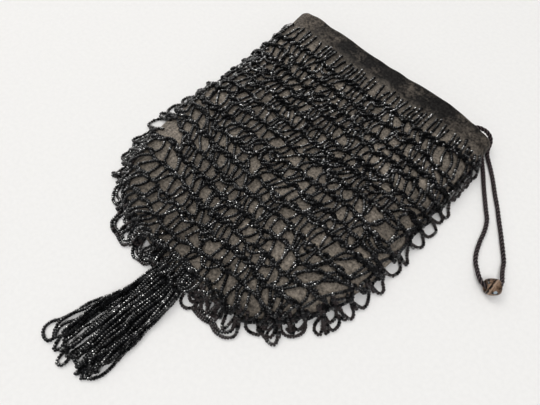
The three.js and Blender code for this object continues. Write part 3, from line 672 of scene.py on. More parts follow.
class Strings:
    """Bead strings of one piece."""

    def __init__(self, pitch=PITCH):
        self.at, self.way, self.dull, self.pitch = [], [], [], pitch

    def add(self, path, dull=False):
        path = np.asarray(path, float)
        s, pitch = along(path), self.pitch
        if s[-1] < 0.6 * pitch:
            return
        n = max(1, int(round(s[-1] / pitch)))
        mid = (np.arange(n) + 0.5) * s[-1] / n
        look = lambda v: np.stack([np.interp(np.clip(v, 0, s[-1]), s, path[:, i]) for i in range(3)], 1)
        way = look(mid + 0.5 * pitch) - look(mid - 0.5 * pitch)
        self.at.append(look(mid))
        self.dull.append(np.full(n, dull))
        self.way.append(way / np.maximum(np.linalg.norm(way, axis=1), 1e-9)[:, None])

    def count(self):
        return sum(len(a) for a in self.at)

    def build(self, name, node, seed, shape=CUT, sides=6, floor=0.0, share=JET_SHARE, grey_share=None):
        r = np.random.default_rng(seed)
        c, t = np.vstack(self.at), np.vstack(self.way)
        n = len(c)
        t = t + r.normal(0, 0.045, (n, 3))
        t /= np.linalg.norm(t, axis=1)[:, None]
        c = c + r.normal(0, 0.03, (n, 3))
        radius = BEAD_R * r.uniform(0.92, 1.05, n)
        length = self.pitch * r.uniform(0.88, 1.0, n)
        c[:, 2] = np.maximum(c[:, 2], floor + radius)
        side = np.cross(t, (0.0, 0.0, 1.0))
        flat = np.linalg.norm(side, axis=1) < 0.1
        side[flat] = np.cross(t[flat], (1.0, 0.0, 0.0))
        side /= np.linalg.norm(side, axis=1)[:, None]
        other = np.cross(t, side)
        ang = r.uniform(0, 2 * math.pi, n)[:, None] + np.arange(sides) * 2 * math.pi / sides
        out = np.cos(ang)[..., None] * side[:, None] + np.sin(ang)[..., None] * other[:, None]
        a = np.array([p[0] for p in shape])
        w = np.array([p[1] for p in shape])
        v = (
            c[:, None, None]
            + t[:, None, None] * (length[:, None] * a)[:, :, None, None]
            + out[:, None] * (radius[:, None] * w)[:, :, None, None]
        )
        rings = len(shape)
        one = grid_faces(rings, sides, True).tolist() + [list(range(sides))[::-1], [(rings - 1) * sides + j for j in range(sides)]]
        sizes = np.tile([len(f) for f in one], n)
        loops = (np.concatenate(one)[None] + (np.arange(n) * rings * sides)[:, None]).ravel()
        mesh = bpy.data.meshes.new(name)
        mesh.vertices.add(n * rings * sides)
        mesh.vertices.foreach_set("co", (v * MM).astype(np.float32).ravel())
        mesh.loops.add(len(loops))
        mesh.loops.foreach_set("vertex_index", loops.astype(np.int32))
        mesh.polygons.add(len(sizes))
        mesh.polygons.foreach_set("loop_start", np.concatenate([[0], np.cumsum(sizes)[:-1]]).astype(np.int32))
        for m in JET:
            mesh.materials.append(m)
        kind = r.choice(len(JET), n, p=share)
        kind = np.where(np.concatenate(self.dull) & (r.uniform(0, 1, n) < 0.62), 1, kind)
        if grey_share:
            kind = np.where(np.random.default_rng(seed + 100).uniform(0, 1, n) < grey_share(c), len(JET) - 1, kind)
        mesh.polygons.foreach_set("material_index", np.repeat(kind, len(one)).astype(np.int32))
        mesh.polygons.foreach_set("use_smooth", np.repeat((r.uniform(0, 1, n) > 0.55) | (kind != 1), len(one)))  # the rest keep their cut flats
        mesh.update(calc_edges=True)
        obj = bpy.data.objects.new(name, mesh)
        bpy.context.scene.collection.objects.link(obj)
        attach(obj, "root")
        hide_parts(node)
        return obj


# ------------------------------------------------------------------ the net
# Each course runs across the purse, with bead loops hanging from it to the next one. Row: its
# height at each of ACROSS, the width of the loops below it, and the share of it worked threefold.
ACROSS = [-75, -60, -45, -30, -15, 0, 15, 30, 45, 60, 75]
COURSES = [
    ((100.0, 100.5, 100.8, 100.0, 99.8, 101.0, 100.8, 101.3, 101.0, 104.0, 108.0), 4.0, 0.55),
    ((90.0, 91.8, 89.5, 88.5, 89.0, 90.0, 90.0, 91.5, 91.0, 87.0, 88.0), 4.0, 0.55),
    ((80.0, 81.3, 80.5, 79.2, 80.0, 80.0, 79.0, 80.5, 80.0, 79.0, 78.0), 4.1, 0.55),
    ((70.5, 71.5, 71.0, 70.5, 71.5, 71.0, 71.2, 72.5, 72.0, 70.5, 70.0), 4.2, 0.50),
    ((60.0, 61.0, 61.0, 60.5, 61.0, 60.8, 60.2, 61.5, 60.5, 60.5, 60.0), 4.2, 0.50),
    ((52.0, 51.0, 50.5, 51.5, 51.5, 52.0, 52.0, 54.0, 54.0, 54.0, 53.0), 4.5, 0.45),
    ((42.0, 42.5, 40.5, 41.5, 40.8, 40.8, 43.0, 43.0, 44.2, 45.0, 43.0), 5.4, 0.30),
    ((33.0, 29.0, 29.5, 31.0, 30.5, 31.0, 31.8, 33.5, 33.0, 29.5, 28.0), 5.2, 0.40),
    ((24.0, 22.0, 21.0, 20.5, 22.0, 21.5, 22.3, 23.0, 23.0, 21.0, 18.0), 5.6, 0.40),
    ((14.0, 12.5, 11.0, 11.0, 11.0, 11.3, 11.5, 14.5, 14.5, 14.5, 16.0), 6.2, 0.40),
    ((4.0, 5.5, 1.0, 1.0, -1.0, 1.5, 3.0, 2.5, 2.0, 2.5, 5.0), 6.2, 0.40),
    ((-6.0, -7.5, -8.0, -9.0, -10.5, -10.0, -9.5, -7.0, -8.3, -4.0, -3.0), 6.2, 0.40),
    ((-15.0, -18.5, -19.5, -20.0, -22.5, -20.0, -20.5, -18.0, -20.5, -15.5, -13.0), 6.2, 0.40),
    ((-27.0, -30.5, -31.0, -31.5, -32.0, -31.5, -28.0, -28.5, -29.5, -26.0, -23.0), 6.0, 0.40),
    ((-36.0, -39.0, -41.0, -42.3, -43.5, -43.0, -38.5, -38.5, -38.3, -36.0, -33.0), 5.6, 0.40),
    ((-46.0, -50.0, -52.5, -52.0, -52.5, -51.0, -50.5, -51.3, -50.5, -46.0, -42.0), 4.8, 0.45),
]
BARS_TOP = 115.0  # the loops under the band are stitched here
# Open places where the cloth shows: x, y, half width, half height
OPEN = [(-67, 3, 8, 6), (-64, -3, 6, 4), (-74, 14, 4, 5), (72, 2, 5, 4)]
# Courses pulled out of line: course, x, reach, shift
PULLED = [(10, -68, 6, 3.5), (11, -66, 6, -1.5), (11, -55, 4, 3.0), (11, -46, 5, -1.0), (10, 66, 6, -2.0), (11, 68, 6, 2.5), (14, -18, 6, -1.5)]
# Places where the loops hang askew: x, y, sideways shift from one course to the next, reach across, reach along
ASKEW = [
    (-52, 92, 4.5, 14, 13), (-46, 8, 8.5, 19, 13), (-28, -14, 3.5, 13, 11), (-50, -14, 6.5, 12, 6), (-63, 35, 5.5, 9, 6), (-22, 14, 3.5, 10, 7), (-15, 3, 4.0, 10, 6), (60, -4, -6.5, 13, 9), (30, -27, 5.5, 12, 13), (12, -14, -4.5, 9, 7),
    (16, 49, -4.5, 12, 8), (-9, 36, -4.5, 9, 6), (62, 84, 3.0, 10, 15), (20, 66, -3.5, 8, 6), (-50, 66, -1.5, 10, 10), (64, 12, -4.0, 9, 8),
]
_lean = [wave(500 + i, 40, 110) for i in range(3)]


def lean_at(x, y):
    """How far a loop hangs sideways from one course to the next."""
    h = 0.7 * (_lean[0](x + 0.5 * y) + _lean[1](0.6 * x - y) + 0.6 * _lean[2](x))
    return h + sum(d * np.exp(-(((x - a) / rx) ** 2) - ((y - c) / ry) ** 2) for a, c, d, rx, ry in ASKEW)


def course_line(k, seed):
    chart = catmull(np.stack([ACROSS, COURSES[k][0]], -1), 8)
    w = wave(seed + k, 12, 40)
    arc = float(half_arc(COURSES[k][0][5]))

    def line(u):
        u = np.asarray(u, float)
        x = u * HALF / max(arc, HALF)
        y = np.interp(x, chart[:, 0], chart[:, 1]) + 0.45 * w(u)
        for c, px, reach, shift in PULLED:
            if c == k:
                y = y + shift * np.exp(-(((x - px) / reach) ** 2))
        return np.maximum(y, -55.0)

    return line


def open_at(x, y):
    return any(((x - a) / b) ** 2 + ((y - c) / d) ** 2 < 1 for a, c, b, d in OPEN)


def net(seed, put, bead=BEAD_R):
    """Calls put(course, u, y, off, dull) for each string of one face; u is measured across the cloth."""
    r = np.random.default_rng(seed)
    lines = [course_line(k, seed * 100) for k in range(len(COURSES))]
    sheen_ends = []
    for line in lines:
        pair = []
        for side in (-1, 1):
            u = side * HALF
            for _ in range(8):
                u = side * float(half_arc(line(u)))
            pair.append(u)
        sheen_ends.append(pair)
    hooks = [[] for _ in COURSES]  # where loops meet each course: u, shift

    def line_at(k, u):
        return BARS_TOP + r.uniform(-3.0, 1.2) if k < 0 else float(lines[k](u))

    def loop(k, a, b, c, half, drop, over, lift, bow):
        """A loop of beads from course k (the band, for -1) at a and b down over course k + 1 at c."""
        f = np.array([0.0, 0.22, 0.45, 0.68, 0.87, 0.97, 1.0])
        low = line_at(k + 1, c) + drop
        u, y, off = [], [], []
        for at, side in ((a, -1), (b, 1)):
            foot = c + side * half
            q = np.concatenate([at + (foot - at) * f[:5] / 0.87, [c + side * half * 0.6, c]])
            q += bow * r.normal(0, 1.0) * np.sin(math.pi * f) + r.normal(0, 0.12, len(f)) * np.sin(math.pi * f)
            top = line_at(k, at)
            u.append(q), y.append(top + (low - top) * f)
            off.append(bead * 1.03 + lift * np.sin(math.pi * f) + (over - 1) * bead * smooth01((f - 0.66) / 0.3))
        u, y, off = (np.concatenate([v[0], v[1][-2::-1]]) for v in (u, y, off))
        put(k, u, y, off)
        if k >= 0:
            hooks[k] += [(a, -1.0), (b, -1.0)]
        hooks[k + 1].append((c, 1.2))

    def single(k, u0, u1, lift):
        f = np.linspace(0, 1, 6)
        top, low = line_at(k, u0) - 0.2, line_at(k + 1, u1) + 0.2
        put(
            k, u0 + (u1 - u0) * f + r.normal(0, 0.5) * np.sin(math.pi * f),
            top + (low - top) * f, bead * 1.05 + lift * np.sin(math.pi * f),
        )
        if k >= 0:
            hooks[k].append((u0, -0.6))
        hooks[k + 1].append((u1, 0.6))

    for k in range(-1, len(COURSES) - 1):
        first, last = sheen_ends[max(k, 0)]
        u = first + r.uniform(1.0, 2.5)
        walk = 0.0
        while u < last - 3.0:
            if k < 0:
                w = r.uniform(2.2, 3.2) if r.uniform() < 0.72 else r.uniform(4.0, 5.8)
                g = r.uniform(2.0, 2.8) if r.uniform() < 0.62 else r.uniform(3.2, 5.2)
            else:
                w = COURSES[k][1] * r.uniform(0.65, 1.5)
                g = r.uniform(1.7, 2.4) if r.uniform() < 0.78 else r.uniform(2.8, 4.6)
            mid = u + w / 2
            y_mid = (BARS_TOP if k < 0 else float(lines[k](mid))) / 2 + float(lines[k + 1](mid)) / 2
            if not open_at(mid, y_mid):
                walk = 0.55 * walk + r.normal(0, 0.5 if k < 0 else 1.0)
                lean = float(lean_at(mid, y_mid)) * (0.4 if k < 0 else 1.0) + walk
                kind = r.uniform()
                # some hang as a U, some drawn together below, some drawn together above
                top = w / 2 * (r.uniform(0.85, 1.1) if kind < 0.72 or k < 0 else r.uniform(0.3, 0.6))
                half = w / 2 * (r.uniform(0.8, 1.1) if kind < 0.42 else r.uniform(0.25, 0.5) if kind < 0.72 else r.uniform(1.0, 1.5))
                loop(
                    k, mid - top, mid + top, mid + lean, half, r.uniform(-1.3, 0.8), r.choice([1.0, 1.9, 2.7], p=[0.2, 0.4, 0.4]),
                    r.choice([0.2, 0.7, 1.4], p=[0.5, 0.3, 0.2]), 0.2 if k < 0 else 0.8,
                )
                if k >= 0 and r.uniform() < 0.13:
                    single(k, mid, mid + lean + r.choice([-1, 1]) * r.uniform(1.5, 5.0), 1.3)
                if k >= 5 and g > 3.4 and r.uniform() < 0.4:
                    single(k, u + w + 0.5 * g, u + w + 0.5 * g + lean + r.normal(0, 0.8), 0.5)
            u += w + g
        if k >= 0:  # a few long swags over the rest
            for _ in range(r.integers(1, 4)):
                w = r.uniform(6, 12)
                u = r.uniform(first + 6, last - 6 - w)
                if not open_at(u + w / 2, float(lines[k](u)) - 4):
                    q = np.linspace(0, 1, 7)
                    put(
                        k, u + w * q, lines[k](u + w * q) - r.uniform(3.0, 6.5) * np.sin(math.pi * q) ** 0.8,
                        bead * (1.8 + 0.9 * np.sin(math.pi * q)),
                    )

    for k, line in enumerate(lines):
        first, last = sheen_ends[k]
        kept = []
        for h in sorted(h for h in hooks[k] if first + 1.2 < h[0] < last - 1.2):
            if kept and h[0] - kept[-1][0] < 1.5:
                kept[-1] = ((kept[-1][0] + h[0]) / 2, (kept[-1][1] + h[1]) / 2)
            else:
                kept.append(h)
        u, y, off = [first], [float(line(first))], [bead * 1.3]
        for i, (at, shift) in enumerate(kept):
            if i and at - kept[i - 1][0] > 3.0:
                m = (kept[i - 1][0] + at) / 2
                u.append(m), y.append(float(line(m)) - 0.2 + r.normal(0, 0.2)), off.append(bead * r.uniform(1.2, 1.8))
            u.append(at), y.append(float(line(at)) + shift * r.uniform(0.5, 1.2)), off.append(bead * r.uniform(1.7, 2.3))
        u.append(last), y.append(float(line(last))), off.append(bead * 1.3)
        put(k, np.array(u), np.array(y), np.array(off), True)
        # the second strand is laid round the first, and in places a third round both
        path = catmull(np.stack([u, y, off], -1), 6)
        lay, start = r.uniform(8, 11), r.uniform(0, 6)
        at = first + 1
        while at < last - 2:
            run = r.uniform(18, 45)
            for i in range(2 if r.uniform() < 1.15 * COURSES[k][2] else 1):
                q = np.arange(at, min(at + run + 1.0, last - 1), 1.5)
                if len(q) > 4:
                    turn = 2 * math.pi * q / lay + start + 2.6 * i
                    put(
                        k, q, np.interp(q, path[:, 0], path[:, 1]) + (1.15 + 0.35 * i) * np.sin(turn) + r.normal(0, 0.12, len(q)),
                        np.maximum(np.interp(q, path[:, 0], path[:, 2]) + bead * np.cos(turn), bead), True,
                    )
            at += run
    return lines


front_parts = [Strings(), Strings(), Strings(), Strings()]


def put_front(k, u, y, off, dull=False):
    f = catmull(np.stack([u, y, off], -1), 6)
    front_parts[max(k, 0) // 4].add(on_front(f[:, 0] / half_arc(f[:, 1]), f[:, 1], f[:, 2]), dull)


front_lines = net(3, put_front)


def root_loops():
    """Short loops from the last course over the bottom seam on to the tassel's root."""
    r = np.random.default_rng(64)
    for x in np.arange(-13.5, 14, 3.0):
        w, d = r.uniform(1.2, 2.2), r.uniform(9.5, 13.0)
        lean = r.normal(0, 1.4)
        y0 = float(front_lines[-1](x))
        shape = [(-w, 0.0, None), (-w * 1.1, 0.45, None), (-w * 1.0, 0.72, 6.9), (-w * 0.6, 0.94, 7.4), (0, 1.0, 7.4),
                 (w * 0.6, 0.94, 7.4), (w * 1.0, 0.72, 6.9), (w * 1.1, 0.45, None), (w, 0.0, None)]
        pts = []
        for a, f, z in shape:
            px, py = x + a + lean * f, y0 - d * f
            if z is None:
                z = float(cloth_height(px, py)) + BEAD_R * 1.4
            pts.append((float(widen(px, py)), py, z + r.normal(0, 0.15)))
        front_parts[3].add(catmull(pts, 6))


root_loops()

back_part = Strings(1.9)


def put_back(k, u, y, off, dull=False):
    f = catmull(np.stack([u, y], -1), 4)
    x = np.clip(f[:, 0] / half_arc(f[:, 1]), -1, 1) * (section(f[:, 1])["half"] - 0.8)
    back_part.add(np.stack([widen(x, f[:, 1]), f[:, 1], np.full(len(x), 0.95)], -1))


net(11, put_back)


# ------------------------------------------------------------------ edge loops
# Loops round the edge as they lie on the table: points of each from one end to the other
LOOPS_RIGHT = [
    [(80.4, 108.0), (82.2, 104.6), (81.8, 101.4), (80.2, 98.6)],
    [(80.4, 99.4), (82.0, 96.4), (81.6, 92.8), (80.2, 90.4)],
    [(80.2, 91.2), (82.2, 88.0), (82.2, 84.6), (80.4, 81.4)],
    [(80.0, 80.6), (83.2, 76.8), (85.4, 73.4), (84.8, 71.2), (82.2, 70.8), (80.0, 71.0)],
    [(81.4, 71.2), (84.2, 69.6), (84.4, 66.6), (83.2, 63.8), (80.6, 62.4)],
    [(80.6, 63.2), (84.0, 62.9), (86.1, 61.0), (86.1, 58.2), (84.9, 55.0), (82.8, 53.2), (80.4, 52.9)],
    [(80.4, 53.4), (83.6, 51.9), (85.9, 49.2), (85.6, 46.4), (83.6, 44.0), (80.8, 42.8)],
    [(80.4, 41.4), (83.4, 37.4), (86.1, 34.8), (86.3, 33.2), (83.4, 33.0), (80.4, 33.4)],
    [(80.6, 32.0), (83.2, 31.4), (85.4, 29.2), (85.8, 26.0), (84.4, 22.8), (82.0, 20.6), (80.4, 20.4)],
    [(80.6, 20.0), (83.6, 16.4), (86.3, 13.2), (86.0, 10.4), (83.4, 8.8), (80.4, 9.4)],
    [(80.4, 7.6), (82.6, 5.4), (84.4, 2.2), (84.4, -1.6), (82.6, -4.6), (79.6, -5.8)],
    [(79.8, -5.2), (83.0, -7.4), (83.8, -10.6), (82.0, -13.2), (77.6, -14.0)],
    [(76.4, -13.8), (79.7, -15.0), (81.4, -18.2), (80.5, -21.8), (78.0, -24.4), (74.6, -22.0)],
    [(75.0, -13.0), (77.6, -15.6), (77.0, -19.4), (74.4, -20.8), (72.2, -19.6)],
    [(72.0, -22.0), (72.2, -25.6), (74.6, -28.3), (77.7, -27.9), (79.5, -25.0), (79.0, -21.8)],
    [(58.6, -37.0), (61.0, -39.4), (64.0, -40.3), (67.0, -39.5), (69.5, -36.6), (70.4, -33.0), (69.3, -29.4), (66.6, -26.8), (63.6, -26.4)],
    [(66.6, -25.6), (68.4, -29.6), (67.8, -34.0), (66.2, -37.6), (63.0, -37.4)],
    [(62.8, -28.4), (64.8, -31.6), (66.2, -34.8), (67.6, -37.4)],
    [(55.4, -40.4), (55.0, -44.6), (56.0, -48.0), (59.0, -48.5), (62.0, -48.9), (64.3, -47.2), (63.5, -43.4), (60.6, -39.4)],
    [(57.8, -39.4), (57.2, -44.0), (58.2, -47.2), (60.2, -46.6), (60.4, -43.4), (60.8, -38.4)],
    [(45.6, -48.6), (47.2, -51.2), (50.0, -52.0), (53.0, -51.1), (55.6, -49.0), (55.8, -45.6), (54.0, -41.8)],
    [(49.0, -45.8), (51.4, -46.4), (53.8, -48.8), (54.4, -45.0), (52.8, -42.4)],
    [(10.8, -58.0), (11.4, -62.6), (12.6, -65.0), (15.4, -66.5), (18.4, -66.0), (20.2, -64.0), (23.0, -64.3), (26.0, -64.4), (29.0, -63.9),
     (33.0, -63.0), (37.0, -64.1), (41.0, -63.9), (44.7, -61.8), (46.6, -58.2), (45.3, -54.4), (42.0, -50.4)],
    [(19.6, -57.6), (21.2, -62.4), (25.5, -63.0), (30.0, -62.4), (33.6, -61.2), (37.2, -62.2), (40.4, -61.6), (43.4, -58.2), (43.8, -54.8), (40.6, -50.4)],
    [(34.2, -52.0), (36.4, -55.6), (37.8, -59.2), (40.2, -60.4), (43.2, -56.8), (41.6, -51.6)],
    [(28.4, -54.2), (31.2, -57.2), (33.4, -60.6), (34.6, -57.4), (33.0, -52.6)],
    [(13.0, -57.6), (14.6, -60.8), (17.8, -61.6), (20.2, -60.4), (21.4, -57.0)],
    [(12.0, -54.0), (12.6, -57.4), (13.8, -59.4), (16.6, -59.6), (19.4, -58.4), (20.4, -55.0)],
    [(20.0, -55.0), (21.6, -58.6), (24.0, -60.6), (27.0, -61.2), (29.8, -60.2), (30.6, -56.4)],
    [(22.6, -54.6), (24.8, -57.6), (27.6, -58.8), (30.2, -57.4), (30.8, -54.0)],
    [(25.2, -54.2), (26.4, -58.2), (27.6, -62.4)],
    [(17.6, -55.4), (18.6, -58.8), (20.6, -62.6)],
    [(23.0, -55.4), (22.4, -59.0), (23.4, -63.0)],
    [(30.0, -53.6), (30.4, -57.2), (31.0, -61.6)],
    [(10.6, -57.8), (13.4, -57.6), (16.2, -57.3), (19.2, -56.7)],
    [(11.4, -58.6), (14.4, -58.8), (17.2, -58.2), (19.4, -57.2)],
]
LOOPS_LEFT = [
    [(-74.6, 114.0, 9.4), (-76.8, 113.4, 8.2), (-78.3, 111.4, 7.4), (-78.1, 108.4, 7.2), (-76.2, 106.4, 8.0)],
    [(-80.4, 47.4), (-83.0, 46.2), (-84.9, 44.5), (-83.0, 42.6), (-80.6, 42.2)],
    [(-80.8, 39.2), (-83.4, 38.0), (-84.3, 36.0), (-83.5, 33.6), (-81.4, 31.6)],
    [(-81.4, 31.2), (-84.0, 28.7), (-85.5, 26.0), (-85.1, 23.0), (-83.4, 20.4), (-81.2, 19.6)],
    [(-82.0, 20.8), (-85.6, 18.4), (-86.5, 15.0), (-86.1, 11.4), (-84.2, 9.6), (-82.0, 9.4)],
    [(-82.2, 10.0), (-86.0, 9.1), (-87.7, 7.0), (-86.1, 5.2), (-83.2, 4.8)],
    [(-82.4, 5.4), (-85.8, 2.6), (-86.9, -1.4), (-86.5, -4.4), (-84.0, -5.0), (-80.6, -4.0)],
    [(-80.4, -4.8), (-82.4, -8.0), (-82.7, -12.0), (-84.7, -16.6), (-84.1, -18.5), (-81.4, -18.0), (-79.0, -16.4)],
    [(-79.4, -9.6), (-81.2, -13.0), (-81.8, -19.8), (-80.6, -23.8), (-78.0, -25.0)],
    [(-78.0, -20.4), (-80.1, -27.0), (-79.7, -30.7), (-76.4, -32.8), (-72.6, -33.6)],
    [(-77.6, -7.6), (-80.0, -12.0), (-80.0, -17.0), (-77.0, -20.0)],
    [(-76.0, -13.6), (-78.6, -19.0), (-78.4, -25.0), (-76.8, -28.6), (-73.4, -29.8)],
    [(-73.4, -20.0), (-76.6, -24.6), (-77.6, -29.6), (-74.0, -31.6), (-69.6, -30.6)],
    [(-67.0, -32.8), (-71.0, -35.6), (-70.6, -40.0), (-66.0, -42.4)],
    [(-71.6, -31.6), (-73.2, -37.4), (-71.8, -41.0), (-68.0, -43.7), (-64.4, -44.4)],
    [(-71.0, -38.4), (-74.9, -41.6), (-73.7, -42.7), (-70.0, -41.0)],
    [(-64.6, -41.6), (-65.4, -46.8), (-62.5, -50.9), (-58.0, -53.4), (-54.0, -54.7), (-49.6, -54.4)],
    [(-62.6, -42.0), (-63.4, -46.4), (-61.0, -49.4), (-57.0, -51.6), (-51.4, -52.8)],
    [(-58.8, -42.8), (-57.4, -44.2), (-54.0, -48.2), (-51.4, -51.4)],
    [(-50.2, -51.6), (-50.8, -58.0), (-49.5, -62.1), (-46.0, -64.5), (-41.0, -65.0), (-37.0, -66.2), (-33.5, -66.1), (-31.0, -64.2), (-30.0, -60.4)],
    [(-48.4, -53.4), (-48.9, -58.6), (-47.2, -61.8), (-43.6, -63.2), (-39.0, -63.5), (-35.0, -64.2), (-32.4, -62.4), (-32.0, -58.0)],
    [(-46.0, -52.8), (-45.0, -57.0), (-42.2, -61.4), (-39.8, -62.6)],
    [(-42.6, -53.6), (-41.4, -59.6), (-40.0, -62.4), (-38.6, -59.4), (-38.2, -54.4)],
    [(-36.4, -55.0), (-35.2, -61.8), (-33.6, -61.0), (-32.8, -56.2)],
    [(-29.6, -60.2), (-28.0, -64.5), (-24.5, -66.8), (-20.0, -66.1), (-16.0, -65.4), (-12.6, -63.0), (-12.0, -59.0)],
    [(-28.4, -58.6), (-26.2, -63.4), (-22.0, -64.4), (-17.0, -63.6), (-13.4, -61.0), (-12.6, -57.6)],
    [(-26.6, -57.6), (-24.2, -62.0), (-20.2, -62.4), (-17.0, -58.0)],
    [(-18.0, -57.8), (-16.6, -61.2), (-13.2, -63.4), (-11.6, -59.6)],
    [(-16.4, -57.2), (-13.4, -57.7), (-10.4, -57.9), (-7.4, -58.0)],
    [(-15.4, -58.4), (-12.2, -59.2), (-9.2, -59.0), (-7.0, -58.2)],
]


def edge_line(side):
    y = np.linspace(116.0, BEND_Y, 120)
    a = np.linspace(0, math.pi / 2, 400)[1:]
    low = np.stack([HALF * np.cos(a) ** (2 / POWER), BEND_Y - DEPTH * np.sin(a) ** (2 / POWER)], -1)
    line = np.vstack([np.stack([np.full_like(y, HALF), y], -1), low])
    return resample(np.stack([widen(side * line[:, 0], line[:, 1]), line[:, 1]], -1), 0.5)


EDGE = {side: edge_line(side) for side in (-1, 1)}


def edge_near(side, q):
    """The seam's point nearest to q, its plain outline's point, and the way out from it."""
    line = EDGE[side]
    i = int(np.clip(np.argmin(np.linalg.norm(line - q, axis=1)), 2, len(line) - 3))
    d = line[i + 2] - line[i - 2]
    n = np.array([-d[1], d[0]]) / np.linalg.norm(d)
    return line[i], n if n @ (line[i] - np.array([0.0, 20.0])) > 0 else -n


def over_cloth(q):
    plain = q[0] / (float(widen(q[0], q[1])) / q[0]) if abs(q[0]) > 1 else q[0]
    return float(cloth_height(plain, max(q[1], -56.5)))


def edge_loop(strings, side, points, r):
    """One loop of beads from the net over the seam, along its points on the table and back."""
    path = []
    for p in points:
        q = np.array(p[:2]) + r.normal(0, 0.1, 2)
        e, n = edge_near(side, q)
        seam = float(section(e[1])["mid"]) + 1.3
        z = p[2] if len(p) > 2 else 0.95 + (seam - 0.95) * (1 - smooth01(((q - e) @ n - 0.4) / 4.4))
        path.append((*q, z))
    for at, p in ((0, points[0]), (len(path), points[-1])):
        e, n = edge_near(side, np.array(p[:2]))
        inner = e - n * (r.uniform(0.9, 1.7) if r.uniform() < 0.8 else r.uniform(3.0, 6.0))
        lead = [(*inner, over_cloth(inner) + BEAD_R * 1.3), (*(e - n * 0.2), float(section(e[1])["mid"]) + 2.2)]
        path[at:at] = lead if at == 0 else lead[::-1]
    strings.add(catmull(path, 6))


def edge_loops(side, seed, node, name):
    r = np.random.default_rng(seed)
    strings = Strings()
    for points in LOOPS_LEFT if side < 0 else LOOPS_RIGHT:
        edge_loop(strings, side, points, r)
    # higher up the loops are drawn close along the seam
    y = 103.0
    while y > (50.0 if side < 0 else 84.0):
        w = r.uniform(7.5, 10.0)
        for reach in (r.uniform(1.5, 2.2), r.uniform(0.9, 1.3)):
            points = []
            for f, out in ((0.0, 0.7), (0.22, 0.95), (0.5, 1.0), (0.78, 0.95), (1.0, 0.7)):
                e, n = edge_near(side, np.array([side * 80.0, y - f * w]))
                q = e + n * reach * out
                points.append((*q, float(section(e[1])["mid"]) + 0.4 + r.normal(0, 0.35) + (2.0 - reach)))
            edge_loop(strings, side, points, r)
        y -= w * r.uniform(0.92, 1.05)
    strings.build(
        name, node, seed + 1,
        share=[0.14, 0.04, 0.10, 0.06, 0.10, 0.56, 0.0] if side > 0 else [0.29, 0.08, 0.19, 0.06, 0.16, 0.22, 0.0],
    )
    return strings


loops_right = edge_loops(1, 21, "edge_loops_right", "edge_loops_right_beads")
loops_left = edge_loops(-1, 33, "edge_loops_left", "edge_loops_left_beads")


